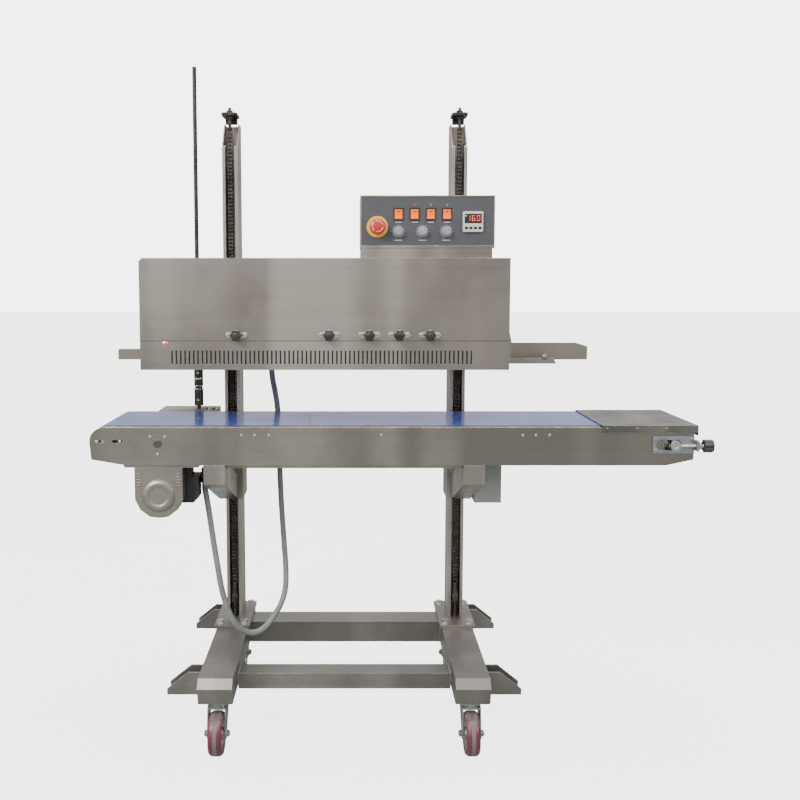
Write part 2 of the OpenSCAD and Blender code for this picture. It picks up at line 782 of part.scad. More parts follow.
module cover_outline(inset) {
    polygon([[head_l + inset, head_mid], [head_l + inset, head_top - 8], [head_l + 8, head_top - inset],
        [head_r - inset, head_top - inset], [head_r - inset, head_mid]]);
}

module upper_cover() {
    wall = sheet_t;
    color(steel) difference() {
        along_y(head_front, head_back - 3) cover_outline(0);
        difference() {
            along_y(head_front + wall, head_back) cover_outline(wall);
        }
        box([head_l + wall, head_front + wall, head_mid - 1], [head_r - wall, head_back, head_mid + 20]);
        for (x = knobs_x) bar_y(x, knob_z, head_front - 1, head_front + wall + 1, 5.5);
    }
}

// Lower covers in front of and behind the film's path, with upright vents
module vent_cover() {
    wall = sheet_t;
    pitch = 10.3;
    slot_w = 4;
    slot_z = head_bottom + 14;
    slot_h = 32;
    first = head_l + 74;
    color(steel) {
        difference() {
            box([head_l, head_front, head_bottom], [head_r, seam_y - 18, head_mid]);
            box([head_l + wall, head_front + wall, head_bottom + wall],
                [head_r - wall, seam_y, head_mid + 1]);
            for (i = [0 : vent_count - 1])
                box([first + i * pitch, head_front - 1, slot_z],
                    [first + i * pitch + slot_w, head_front + wall + 1, slot_z + slot_h]);
        }
    }
    color("#c03020") translate([head_l + 60, head_front, head_mid - 8]) rotate([90, 0, 0]) rotate_extrude()
        polygon([[0, 0], [5, 0], [5, 2], [3, 4], [0, 5]]);
}

// Oval flanges of the pressure knobs, each with two screws
module knob_flanges() {
    color("#d0d0d0") for (x = knobs_x) {
        difference() {
            along_y(head_front - 3, head_front) union() {
                translate([x, knob_z]) circle(12);
                slot_outline(x, knob_z, 52, 13);
            }
            bar_y(x, knob_z, head_front - 4, head_front + 1, 4 + fit);
        }
        for (s = [-1, 1]) pan_screw(x + s * 19, knob_z, head_front - 3, 4.5);
    }
}

module pressure_knob(x) {
    color(black) {
        along_y(head_front - 25, head_front - 8) translate([x, knob_z]) star_outline(13, 6);
        bar_y(x, knob_z, head_front - 8, head_front - 3 - gap, 7);
    }
    color(zinc) bar_y(x, knob_z, head_front - 3 - gap, head_front + 36, 4);
}

// Plates that lead the film in at the right and out at the left
module infeed_guide() {
    color(steel) {
        along_y(seam_y + 10, seam_y + 13) polygon([[head_r - 20, head_bottom + 17],
            [head_r + 209, head_bottom + 17],
            [head_r + 209, head_bottom + 50], [head_r + 180, head_bottom + 59],
                [head_r - 20, head_bottom + 59]]);
        difference() {
            along_y(seam_y - 17, seam_y - 14) polygon([[head_r, head_bottom + 9],
                [head_r + 126, head_bottom + 9],
                [head_r + 120, head_bottom + 23], [head_r + 16, head_bottom + 23],
                    [head_r + 16, head_bottom + 65],
                [head_r, head_bottom + 144]]);
        }
        box([head_r, seam_y - 17, head_bottom + 64], [head_r + 3, seam_y + 13, head_bottom + 110]);
        box([head_r + 30, seam_y - 14, head_bottom + 17], [head_r + 50, seam_y + 10, head_bottom + 19]);
        translate([head_r + 98, seam_y - 17, head_bottom + 26]) rotate([90, 0, 0]) rotate_extrude()
            polygon([[0, 0], [7, 0], [6, 3], [3, 5], [0, 5.5]]);
        box([head_r + 92, seam_y - 17, head_bottom + 23], [head_r + 104, seam_y - 14, head_bottom + 34]);
        // Outfeed rails
        for (y = [seam_y - 12, seam_y + 8])
            box([head_l - 70, y, head_bottom + 19], [head_l + 8, y + 4, head_bottom + 44]);
    }
}

module band_outline(r) {
    for (x = [wheel_l_x, wheel_r_x]) translate([x, 0]) circle(r);
    translate([wheel_l_x, -r]) square([wheel_r_x - wheel_l_x, 2 * r]);
}

module sealing_bands() {
    color("#b98a52") for (s = [-1, 1]) translate([0, seam_y + s * wheel_dy, band_z])
        linear_extrude(band_h) difference() {
            band_outline(band_wheel_r + gap + band_t);
            band_outline(band_wheel_r + gap);
        }
}

// Heating and cooling blocks inside the loops of the bands
module seal_blocks() {
    for (s = [-1, 1]) for (k = [[mid_x + 40, mid_x + 190, "#8c6b4a"],
        [mid_x - 160, mid_x - 20, "#b9bcc0"]]) {
        inner = seam_y + s * 2;
        outer = seam_y + s * 22;
        color(k[2]) {
            box([k[0], min(inner, outer), band_z - 3], [k[1], max(inner, outer), band_z - 1]);
            box([k[0], min(inner + s * 2, outer), band_z - 1], [k[1],
                max(inner + s * 2, outer), band_z + 26]);
            box([k[0] + 50, min(outer - s * 12, outer), band_z + 26],
                [k[0] + 80, max(outer - s * 12, outer), deck_z]);
        }
    }
}

module band_wheel(x, s) {
    color(zinc) translate([x, seam_y + s * wheel_dy, 0]) {
        difference() {
            translate([0, 0, band_z - 2]) cylinder(r = band_wheel_r, h = band_h + 4);
            for (k = [0 : 4]) rotate(k * 72) translate([band_wheel_r * 0.6, 0, band_z - 3])
                cylinder(r = band_wheel_r * 0.16, h = band_h + 6);
        }
        translate([0, 0, band_z + band_h + 2])
            cylinder(r = 6, h = deck_z + deck_t + 8 - band_z - band_h - 2);
        translate([0, 0, deck_z + deck_t + gap]) cylinder(r = 10, h = 7);
    }
}

// ---- Control box ----
module control_box() {
    wall = 2;
    color(steel) {
        difference() {
            box([box_l, box_front, box_bot], [box_l + box_w, box_back, box_bot + box_h]);
            box([box_l + 3, box_front - 1, box_bot + 6],
                [box_l + box_w - 3, box_back - wall, box_bot + box_h - 10 + 7]);
        }
        box([box_l + 1, box_front + 2, head_top], [box_l + box_w - 5, box_back, box_bot]);
    }
}

module panel_holes() {
    translate([estop_x, estop_z]) circle(13);
    for (x = rockers_x) translate([x - 10, rocker_z - 13.5]) square([20, 27]);
    for (x = dials_x) translate([x, dial_z]) circle(5);
}

// Slate face with the emergency stop's collar, the rocker frames and the temperature controller
module control_panel() {
    y = box_front + 1;
    color("#5c626e") along_y(y, y + face_t) difference() {
        translate([box_l + 3, box_bot + 6]) square([box_w - 6, box_h - 9]);
        panel_holes();
    }
    color("#e0a82a") difference() {
        bar_y(estop_x, estop_z, y - 5, y, 25.5);
        bar_y(estop_x, estop_z, y - 6, y + 3, 13);
    }
    color(black) for (x = rockers_x) along_y(y - 2, y) difference() {
        translate([x - 12.2, rocker_z - 15.5]) square([24.4, 31]);
        translate([x - 10, rocker_z - 13.5]) square([20, 27]);
    }
    color("#cfcabc") box([meter_x - 24.5, y - 7, meter_z - 24.5], [meter_x + 24.5, y, meter_z + 24.5]);
}

module estop_button() {
    y = box_front + 1;
    color("#c02822") translate([estop_x, y, estop_z]) rotate([90, 0, 0]) rotate_extrude()
        polygon([[0, -14], [12, -14], [12, 10], [14, 11.5], [19, 15], [19, 22], [16, 27], [0, 28]]);
}

module rocker(x) {
    y = box_front + 1;
    color("#f0701c") translate([x, y, rocker_z]) along_x(-9.6, 9.6)
        polygon([[8, -7], [-1, -11.6], [-4.5, -11.6], [-2, 0], [-1, 11.6], [8, 7]]);
}

module dial(x) {
    y = box_front + 1;
    color("#8d9096") {
        difference() {
            bar_y(x, dial_z, y - 16, y - gap, 13.9);
            box([x - 0.8, y - 17, dial_z + 3], [x + 0.8, y - 15, dial_z + 14]);
        }
        bar_y(x, dial_z, y - gap, y + 16, 4.5);
    }
}

base_frame();
base_plates();
foot_bolts();
columns();
chain_tensioners();
lift_chains();
caster_fork(col_l, -1);  // caster_fork_fl
caster_fork(col_r, -1);  // caster_fork_fr
caster_fork(col_l, 1);  // caster_fork_rl
caster_fork(col_r, 1);  // caster_fork_rr
caster_wheel(col_l, -1);  // caster_wheel_fl
caster_wheel(col_r, -1);  // caster_wheel_fr
caster_wheel(col_l, 1);  // caster_wheel_rl
caster_wheel(col_r, 1);  // caster_wheel_rr
conveyor_frame();
end_cover();
conveyor_belt();
conveyor_screws();
tension_plates();
nose_roller();
drive_roller();
tension_roller();
tension_blocks();
tension_knob();
chain_guard();
gear_motor();
motor_sprocket();
drive_chain();
support_arms();
carriages();
junction_box();
gearbox();
drive_rod();
power_conduit();
head_frame();
upper_cover();
vent_cover();
knob_flanges();
pressure_knob(knobs_x[0]);  // pressure_knob_1
pressure_knob(knobs_x[1]);  // pressure_knob_2
pressure_knob(knobs_x[2]);  // pressure_knob_3
pressure_knob(knobs_x[3]);  // pressure_knob_4
pressure_knob(knobs_x[4]);  // pressure_knob_5
infeed_guide();
sealing_bands();
seal_blocks();
band_wheel(wheel_l_x, -1);  // band_wheel_lf
band_wheel(wheel_l_x, 1);  // band_wheel_lb
band_wheel(wheel_r_x, -1);  // band_wheel_rf
band_wheel(wheel_r_x, 1);  // band_wheel_rb
control_box();
control_panel();
estop_button();
rocker(rockers_x[0]);  // rocker_1
rocker(rockers_x[1]);  // rocker_2
rocker(rockers_x[2]);  // rocker_3
rocker(rockers_x[3]);  // rocker_4
dial(dials_x[0]);  // dial_1
dial(dials_x[1]);  // dial_2
dial(dials_x[2]);  // dial_3
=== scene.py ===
"""Looks of a continuous band sealer: its finishes, fine pieces, floor, lights and camera."""

import itertools
import logging
import math
import random
from dataclasses import dataclass
from enum import Enum
from typing import Iterable, Optional, Sequence

import bmesh
import bpy
from mathutils import Matrix, Vector


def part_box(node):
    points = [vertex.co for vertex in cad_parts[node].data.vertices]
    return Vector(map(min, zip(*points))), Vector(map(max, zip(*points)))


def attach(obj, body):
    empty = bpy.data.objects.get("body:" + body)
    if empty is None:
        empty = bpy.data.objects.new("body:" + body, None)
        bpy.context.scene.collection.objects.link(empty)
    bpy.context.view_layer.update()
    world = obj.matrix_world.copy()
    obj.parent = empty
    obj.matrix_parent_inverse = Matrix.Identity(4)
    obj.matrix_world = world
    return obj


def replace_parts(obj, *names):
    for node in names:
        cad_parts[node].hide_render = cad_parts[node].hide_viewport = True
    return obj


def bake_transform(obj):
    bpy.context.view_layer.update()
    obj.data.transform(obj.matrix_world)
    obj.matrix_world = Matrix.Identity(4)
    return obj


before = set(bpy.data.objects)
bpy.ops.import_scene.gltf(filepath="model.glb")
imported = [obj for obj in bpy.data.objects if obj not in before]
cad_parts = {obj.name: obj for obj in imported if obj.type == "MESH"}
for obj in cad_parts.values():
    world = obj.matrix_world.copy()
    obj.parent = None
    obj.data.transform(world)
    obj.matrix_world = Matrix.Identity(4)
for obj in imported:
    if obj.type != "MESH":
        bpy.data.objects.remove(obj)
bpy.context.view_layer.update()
LOG = logging.getLogger("band_sealer")
MM = 0.001
CORNERS = ("fl", "fr", "rl", "rr")
SMOOTH_BELOW = math.radians(35)
BEVEL_ABOVE = math.radians(40)
BEVEL_STEPS = 2
Point = tuple[float, float, float]
Colour = tuple[float, float, float]


class Axis(Enum):
    """The row axis that a turned or extruded piece faces along."""

    PLUS_X = "x"
    MINUS_Y = "-y"
    PLUS_Z = "z"

    def matrix(self) -> Matrix:
        """Returns the rotation that turns local +Z onto this axis."""
        turns = {
            Axis.PLUS_X: Matrix.Rotation(math.radians(90), 4, "Y"),
            Axis.MINUS_Y: Matrix.Rotation(math.radians(90), 4, "X"),
            Axis.PLUS_Z: Matrix.Identity(4),
        }
        return turns[self]


# ---------------------------------------------------------------- node groups


class GroupMaker:
    """Builds a shader node group with named sockets."""

    def __init__(self, name: str, inputs: Sequence[tuple], outputs: Sequence[tuple]) -> None:
        """Makes the empty group.

        Args:
            name: the group's name.
            inputs: (name, kind, default) for each input socket.
            outputs: (name, kind) for each output socket.
        """
        self.tree = bpy.data.node_groups.new(name, "ShaderNodeTree")
        for label, kind, default in inputs:
            socket = self.tree.interface.new_socket(label, in_out="INPUT", socket_type="NodeSocket" + kind)
            socket.default_value = default
        for label, kind in outputs:
            self.tree.interface.new_socket(label, in_out="OUTPUT", socket_type="NodeSocket" + kind)
        self.entry = self.tree.nodes.new("NodeGroupInput")
        self.exit = self.tree.nodes.new("NodeGroupOutput")

    def add(self, kind: str, **settings: object) -> bpy.types.Node:
        """Adds a node and sets its plain properties."""
        return add_node(self.tree, kind, **settings)

    def link(self, source: bpy.types.NodeSocket, target: bpy.types.NodeSocket) -> None:
        """Joins two sockets."""
        self.tree.links.new(source, target)


def add_node(tree: bpy.types.NodeTree, kind: str, **settings: object) -> bpy.types.Node:
    """Adds a shader node to a tree.

    Args:
        tree: the node tree.
        kind: the node's type without its ShaderNode prefix.
        settings: properties to set on the node.

    Returns:
        The new node.
    """
    node = tree.nodes.new("ShaderNode" + kind)
    for key, value in settings.items():
        setattr(node, key, value)
    return node


def set_inputs(node: bpy.types.Node, **values: object) -> bpy.types.Node:
    """Sets a node's inputs by name, with _ for a space, and returns the node."""
    for key, value in values.items():
        node.inputs[key.replace("_", " ")].default_value = value
    return node


def make_brushed_grain() -> bpy.types.NodeTree:
    """Returns a group that draws fine grain lines, stretched by a direction vector."""
    group = GroupMaker(
        "brushed_grain",
        [("Direction", "Vector", (4.0, 900.0, 900.0)), ("Contrast", "Float", 0.5)],
        [("Tone", "Float"), ("Height", "Float")],
    )
    coords = group.add("TexCoord")
    stretch = group.add("VectorMath", operation="MULTIPLY")
    group.link(coords.outputs["Object"], stretch.inputs[0])
    group.link(group.entry.outputs["Direction"], stretch.inputs[1])
    fine = set_inputs(group.add("TexNoise"), Scale=1.0, Detail=3.0)
    group.link(stretch.outputs[0], fine.inputs["Vector"])
    broad = set_inputs(group.add("TexNoise"), Scale=0.13, Detail=2.0)
    group.link(stretch.outputs[0], broad.inputs["Vector"])
    both = group.add("Math", operation="ADD")
    group.link(fine.outputs["Fac"], both.inputs[0])
    group.link(broad.outputs["Fac"], both.inputs[1])
    centred = group.add("Math", operation="SUBTRACT")
    centred.inputs[1].default_value = 1.0
    group.link(both.outputs[0], centred.inputs[0])
    tone = group.add("Math", operation="MULTIPLY_ADD")
    tone.inputs[2].default_value = 0.5
    group.link(centred.outputs[0], tone.inputs[0])
    group.link(group.entry.outputs["Contrast"], tone.inputs[1])
    group.link(tone.outputs[0], group.exit.inputs["Tone"])
    group.link(fine.outputs["Fac"], group.exit.inputs["Height"])
    return group.tree


def make_edge_wear() -> bpy.types.NodeTree:
    """Returns a group that rounds sharp edges in shading and masks the worn strip along them."""
    group = GroupMaker(
        "edge_wear",
        [("Breakup", "Float", 60.0)],
        [("Mask", "Float"), ("Normal", "Vector")],
    )
    bevel = set_inputs(group.add("Bevel", samples=4), Radius=0.0012)
    surface = group.add("NewGeometry")
    dot = group.add("VectorMath", operation="DOT_PRODUCT")
    group.link(bevel.outputs["Normal"], dot.inputs[0])
    group.link(surface.outputs["Normal"], dot.inputs[1])
    strip = set_inputs(group.add("MapRange"), From_Min=0.995, From_Max=0.86)
    group.link(dot.outputs["Value"], strip.inputs["Value"])
    coords = group.add("TexCoord")
    noise = set_inputs(group.add("TexNoise"), Detail=4.0)
    group.link(coords.outputs["Object"], noise.inputs["Vector"])
    group.link(group.entry.outputs["Breakup"], noise.inputs["Scale"])
    patchy = set_inputs(group.add("MapRange"), From_Min=0.38, From_Max=0.62)
    group.link(noise.outputs["Fac"], patchy.inputs["Value"])
    both = group.add("Math", operation="MULTIPLY")
    group.link(strip.outputs["Result"], both.inputs[0])
    group.link(patchy.outputs["Result"], both.inputs[1])
    group.link(both.outputs[0], group.exit.inputs["Mask"])
    group.link(bevel.outputs["Normal"], group.exit.inputs["Normal"])
    return group.tree


def make_soiling() -> bpy.types.NodeTree:
    """Returns a group that masks smudges, and dust that settles on faces that look up."""
    group = GroupMaker(
        "soiling",
        [("Smudge scale", "Float", 7.0), ("Dust", "Float", 0.3)],
        [("Smudge", "Float"), ("Dust", "Float")],
    )
    coords = group.add("TexCoord")
    cloud = set_inputs(group.add("TexNoise"), Detail=5.0, Roughness=0.6)
    group.link(coords.outputs["Object"], cloud.inputs["Vector"])
    group.link(group.entry.outputs["Smudge scale"], cloud.inputs["Scale"])
    spread = set_inputs(group.add("MapRange", interpolation_type="SMOOTHSTEP"), From_Min=0.35,
                        From_Max=0.68)
    group.link(cloud.outputs["Fac"], spread.inputs["Value"])
    group.link(spread.outputs["Result"], group.exit.inputs["Smudge"])
    surface = group.add("NewGeometry")
    parts = group.add("SeparateXYZ")
    group.link(surface.outputs["Normal"], parts.inputs[0])
    upward = set_inputs(group.add("MapRange"), From_Min=0.5)
    group.link(parts.outputs["Z"], upward.inputs["Value"])
    speck = set_inputs(group.add("TexNoise"), Scale=240.0)
    group.link(coords.outputs["Object"], speck.inputs["Vector"])
    settled = group.add("Math", operation="MULTIPLY")
    group.link(upward.outputs["Result"], settled.inputs[0])
    group.link(speck.outputs["Fac"], settled.inputs[1])
    scaled = group.add("Math", operation="MULTIPLY")
    group.link(settled.outputs[0], scaled.inputs[0])
    group.link(group.entry.outputs["Dust"], scaled.inputs[1])
    group.link(scaled.outputs[0], group.exit.inputs["Dust"])
    return group.tree


def make_sheen_bands() -> bpy.types.NodeTree:
    """Returns a group that masks broad soft bands of painted reflection, stretched by a direction vector.
    """
    group = GroupMaker(
        "sheen_bands",
        [("Direction", "Vector", (5.0, 5.0, 0.5)), ("Softness", "Float", 0.12)],
        [("Band", "Float")],
    )
    coords = group.add("TexCoord")
    stretch = group.add("VectorMath", operation="MULTIPLY")
    group.link(coords.outputs["Object"], stretch.inputs[0])
    group.link(group.entry.outputs["Direction"], stretch.inputs[1])
    cloud = set_inputs(group.add("TexNoise"), Scale=1.0, Detail=1.5, Distortion=0.4)
    group.link(stretch.outputs[0], cloud.inputs["Vector"])
    low = group.add("Math", operation="SUBTRACT")
    low.inputs[0].default_value = 0.5
    high = group.add("Math", operation="ADD")
    high.inputs[0].default_value = 0.5
    spread = group.add("MapRange", interpolation_type="SMOOTHSTEP")
    group.link(cloud.outputs["Fac"], spread.inputs["Value"])
    for node, socket in ((low, "From Min"), (high, "From Max")):
        group.link(group.entry.outputs["Softness"], node.inputs[1])
        group.link(node.outputs[0], spread.inputs[socket])
    group.link(spread.outputs["Result"], group.exit.inputs["Band"])
    return group.tree


GRAIN = make_brushed_grain()
BANDS = make_sheen_bands()
WEAR = make_edge_wear()
SOIL = make_soiling()


# ------------------------------------------------------------------- finishes


class MaterialTree:
    """A material with a Principled BSDF and short ways to feed it."""

    def __init__(self, name: str) -> None:
        """Makes the material, with its output and shader."""
        self.material = bpy.data.materials.new(name)
        self.material.use_nodes = True
        self.tree = self.material.node_tree
        self.tree.nodes.clear()
        self.shader = add_node(self.tree, "BsdfPrincipled")
        self.colour: Optional[bpy.types.NodeSocket] = None
        output = self.tree.nodes.new("ShaderNodeOutputMaterial")
        self.link(self.shader.outputs[0], output.inputs[0])

    def link(self, source: bpy.types.NodeSocket, target: bpy.types.NodeSocket) -> None:
        """Joins two sockets."""
        self.tree.links.new(source, target)

    def add(self, kind: str, **settings: object) -> bpy.types.Node:
        """Adds a node."""
        return add_node(self.tree, kind, **settings)

    def group(self, tree: bpy.types.NodeTree, **values: object) -> bpy.types.Node:
        """Places a node group and sets its inputs by name, with _ for a space."""
        node = self.tree.nodes.new("ShaderNodeGroup")
        node.node_tree = tree
        return set_inputs(node, **values)

    def mix(self, mask: bpy.types.NodeSocket, first: object, second: object) -> bpy.types.NodeSocket:
        """Mixes two colours by a mask.

        Args:
            mask: the socket with the share of the second colour.
            first: a colour or a socket.
            second: a colour or a socket.

        Returns:
            The socket with the mixed colour.
        """
        node = self.add("Mix", data_type="RGBA")
        self.link(mask, node.inputs[0])
        for value, socket in ((first, node.inputs[6]), (second, node.inputs[7])):
            if isinstance(value, bpy.types.NodeSocket):
                self.link(value, socket)
            else:
                socket.default_value = (*value, 1.0)
        return node.outputs[2]

    def math(self, operation: str, first: object, second: object) -> bpy.types.NodeSocket:
        """Returns the socket of a Math node on two sockets or numbers."""
        node = self.add("Math", operation=operation)
        for value, socket in ((first, node.inputs[0]), (second, node.inputs[1])):
            if isinstance(value, bpy.types.NodeSocket):
                self.link(value, socket)
            else:
                socket.default_value = value
        return node.outputs[0]

    def coordinate(self, axis: str) -> bpy.types.NodeSocket:
        """Returns one object coordinate, X, Y or Z."""
        coords = self.add("TexCoord")
        parts = self.add("SeparateXYZ")
        self.link(coords.outputs["Object"], parts.inputs[0])
        return parts.outputs[axis]

    def band(self, value: bpy.types.NodeSocket, centre: float, half: float) -> bpy.types.NodeSocket:
        """Returns 1 where value lies within half of centre, and 0 elsewhere."""
        offset = self.math("SUBTRACT", value, centre)
        return self.math("LESS_THAN", self.math("ABSOLUTE", offset, 0.0), half)


DUST_COLOUR = (0.55, 0.53, 0.5)
COAT_ROUGHNESS = 0.08
# darkening of the painted reflection bands, as a share of the shade colour
BAND_REFLECTION_SHADE = 0.5
GRAIN_SHADE = 0.62
GRAIN_ROUGHNESS = 0.16
FINE_SPECK = 350.0


@dataclass(frozen=True)
class Finish:
    """A surface finish, with its colours, gloss, grain, wear and painted reflection bands."""

    name: str
    base: Colour
    shade: Colour
    metallic: float = 0.0
    roughness: float = 0.5
    rough_spread: float = 0.12
    grain: Optional[Point] = None
    grain_tone: float = 0.35
    bump: float = 0.05
    worn: Colour = (0.75, 0.73, 0.7)
    wear: float = 0.6
    smudge_scale: float = 5.0
    dust: float = 0.3
    coat: float = 0.0
    orange_peel: float = 0.0
    # bands and band_direction set painted reflection: broad darker streaks mixed into the colour
    bands: float = 0.0
    band_direction: Point = (4.5, 4.5, 0.35)

    def tree(self) -> MaterialTree:
        """Returns the finish's material tree, ready to be changed further."""
        made = MaterialTree(self.name)
        shader = made.shader
        set_inputs(shader, Metallic=self.metallic, Coat_Weight=self.coat, Coat_Roughness=COAT_ROUGHNESS)
        soil = made.group(SOIL, Smudge_scale=self.smudge_scale, Dust=self.dust)
        wear = made.group(WEAR)
        colour = made.mix(soil.outputs["Smudge"], self.base, self.shade)
        height = None
        rough = made.math("MULTIPLY", soil.outputs["Smudge"], self.rough_spread)
        # painted reflection: broad soft bands pull the colour towards a darker shade
        if self.bands:
            band = made.group(BANDS, Direction=self.band_direction)
            colour = made.mix(made.math("MULTIPLY", band.outputs["Band"], self.bands), colour,
                              tuple(c * BAND_REFLECTION_SHADE for c in self.shade))
        if self.grain:
            lines = made.group(GRAIN, Direction=self.grain, Contrast=self.grain_tone)
            dark = tuple(c * GRAIN_SHADE for c in self.shade)
            toned = made.math("SUBTRACT", 0.75, lines.outputs["Tone"])
            colour = made.mix(toned, colour, dark)
            rough = made.math("ADD", rough,
                              made.math("MULTIPLY", lines.outputs["Tone"], GRAIN_ROUGHNESS))
            height = lines.outputs["Height"]
        worn = made.math("MULTIPLY", wear.outputs["Mask"], self.wear)
        colour = made.mix(worn, colour, self.worn)
        colour = made.mix(soil.outputs["Dust"], colour, DUST_COLOUR)
        made.link(colour, shader.inputs["Base Color"])
        made.link(made.math("ADD", rough, self.roughness), shader.inputs["Roughness"])
        if height is None:
            speck = set_inputs(made.add("TexNoise"), Scale=self.orange_peel or FINE_SPECK)
            coords = made.add("TexCoord")
            made.link(coords.outputs["Object"], speck.inputs["Vector"])
            height = speck.outputs["Fac"]
        bump = set_inputs(made.add("Bump"), Strength=self.bump, Distance=0.0006)
        made.link(height, bump.inputs["Height"])
        made.link(wear.outputs["Normal"], bump.inputs["Normal"])
        made.link(bump.outputs["Normal"], shader.inputs["Normal"])
        made.colour = colour
        return made

    def material(self) -> bpy.types.Material:
        """Returns the finish as a material."""
        return self.tree().material


ALONG_X = (5.0, 700.0, 700.0)
ALONG_Z = (700.0, 700.0, 5.0)
STEEL = (0.50, 0.445, 0.40)
STEEL_SHADE = (0.33, 0.29, 0.26)

# the bands values on the steel finishes are painted reflection streaks
SHEET = Finish("sheet_steel", STEEL, STEEL_SHADE, 0.88, 0.30, grain=ALONG_X, smudge_scale=8.0, dust=0.15,
               bands=0.6)
COVER = Finish("cover_steel", (0.56, 0.50, 0.455), (0.38, 0.335, 0.305), 0.92, 0.21, 0.22, ALONG_X, 0.4,
               smudge_scale=6.0, dust=0.2, bands=0.75, band_direction=(6.0, 6.0, 0.3))
COLUMN = Finish("column_steel", (0.50, 0.45, 0.41), (0.36, 0.32, 0.29), 0.9, 0.28, grain=ALONG_Z, dust=0.1,
                bands=0.5, band_direction=(1.0, 1.0, 5.0))
BASE = Finish("base_steel", (0.34, 0.31, 0.285), (0.22, 0.20, 0.185), 0.88, 0.30, grain=ALONG_X, dust=0.4,
              bands=0.5, band_direction=(6.0, 6.0, 1.0))
PANEL = Finish("conveyor_steel", (0.46, 0.405, 0.36), (0.30, 0.265, 0.235), 0.93, 0.20, grain=ALONG_X,
               dust=0.2, smudge_scale=9.0, bands=0.7, band_direction=(5.0, 5.0, 0.8))
# darker copy of the steel: painted dark reflection on the polished end cover and drive roller
DARK_REFLECTION_SHEET = Finish("end_cover_painted_reflection", (0.36, 0.325, 0.30), (0.20, 0.18, 0.175), 0.93, 0.14, grain=ALONG_X,
                    dust=0.04, smudge_scale=9.0, bands=0.6, band_direction=(9.0, 2.0, 2.0))
ZINC = Finish("zinc_plate", (0.66, 0.65, 0.62), (0.50, 0.49, 0.47), 1.0, 0.22, smudge_scale=40.0,
              bump=0.08)
# darker zinc with a green tint: painted reflection of the green floor on the caster forks
FORK = Finish("fork_zinc_painted_reflection", (0.36, 0.38, 0.36), (0.22, 0.25, 0.23), 0.95, 0.26, smudge_scale=30.0,
              bump=0.08)
CHROME = Finish("bright_chrome", (0.80, 0.79, 0.78), (0.66, 0.65, 0.64), 1.0, 0.10, 0.06,
                smudge_scale=60.0, dust=0.1)
OILED = Finish("oiled_steel", (0.035, 0.033, 0.032), (0.075, 0.06, 0.05), 0.75, 0.34, smudge_scale=60.0,
               dust=0.2, worn=(0.3, 0.28, 0.26), wear=0.5)
BLACK = Finish("black_moulding", (0.013, 0.013, 0.014), (0.028, 0.028, 0.03), 0.0, 0.30, smudge_scale=70.0,
               worn=(0.12, 0.12, 0.12), wear=0.35, dust=0.25, bump=0.10)
MOTOR = Finish("motor_paint", (0.014, 0.014, 0.014), (0.03, 0.03, 0.03), 0.1, 0.36, smudge_scale=30.0,
               worn=(0.2, 0.2, 0.2), orange_peel=180.0, bump=0.18)
SLATE = Finish("slate_paint", (0.066, 0.068, 0.078), (0.052, 0.054, 0.063), 0.0, 0.40, smudge_scale=9.0,
               dust=0.08, worn=(0.35, 0.36, 0.38), wear=0.25, orange_peel=420.0, bump=0.08)
PLATE_PAINT = Finish("tension_plate_zinc", (0.34, 0.36, 0.41), (0.22, 0.24, 0.28), 0.85, 0.28,
                     smudge_scale=30.0, dust=0.2)
GREY_BOX = Finish("grey_box_paint", (0.30, 0.30, 0.285), (0.24, 0.24, 0.23), 0.1, 0.42, smudge_scale=12.0,
                  orange_peel=300.0, bump=0.12)
SLEEVE = Finish("conduit_sleeve", (0.20, 0.205, 0.215), (0.15, 0.155, 0.165), 0.0, 0.36, smudge_scale=25.0,
                wear=0.0, dust=0.4, bump=0.10)
CLOTH = Finish("band_cloth", (0.42, 0.26, 0.12), (0.30, 0.18, 0.08), 0.0, 0.42, smudge_scale=90.0,
               wear=0.2, bump=0.3)
BLOCKS = Finish("block_metal", (0.50, 0.38, 0.26), (0.36, 0.27, 0.19), 0.9, 0.34, grain=ALONG_X)
RED = Finish("red_moulding", (0.55, 0.012, 0.012), (0.48, 0.022, 0.015), 0.0, 0.24, smudge_scale=50.0,
             wear=0.1, worn=(0.8, 0.2, 0.15), coat=0.4, dust=0.05)
YELLOW = Finish("yellow_moulding", (0.86, 0.47, 0.045), (0.72, 0.37, 0.03), 0.0, 0.34, smudge_scale=50.0,
                wear=0.1, dust=0.05)
GREY_KNOB = Finish("grey_moulding", (0.26, 0.27, 0.29), (0.20, 0.205, 0.22), 0.0, 0.36, smudge_scale=60.0,
                   worn=(0.5, 0.5, 0.5), wear=0.3, dust=0.05)
BEZEL = Finish("meter_bezel", (0.62, 0.60, 0.55), (0.54, 0.52, 0.48), 0.0, 0.38, smudge_scale=40.0,
               wear=0.1, dust=0.05)
WHITE_MARK = Finish("panel_print", (0.72, 0.74, 0.76), (0.62, 0.64, 0.66), 0.0, 0.5, smudge_scale=90.0,
                    wear=0.0, dust=0.0)
GREEN_MARK = Finish("green_print", (0.04, 0.34, 0.12), (0.03, 0.27, 0.09), 0.0, 0.5, smudge_scale=90.0,
                    wear=0.0, dust=0.0)
DARK_GLASS = Finish("meter_window", (0.012, 0.010, 0.011), (0.02, 0.012, 0.012), 0.0, 0.08, 0.05,
                    smudge_scale=30.0, wear=0.0, dust=0.0, coat=0.6)


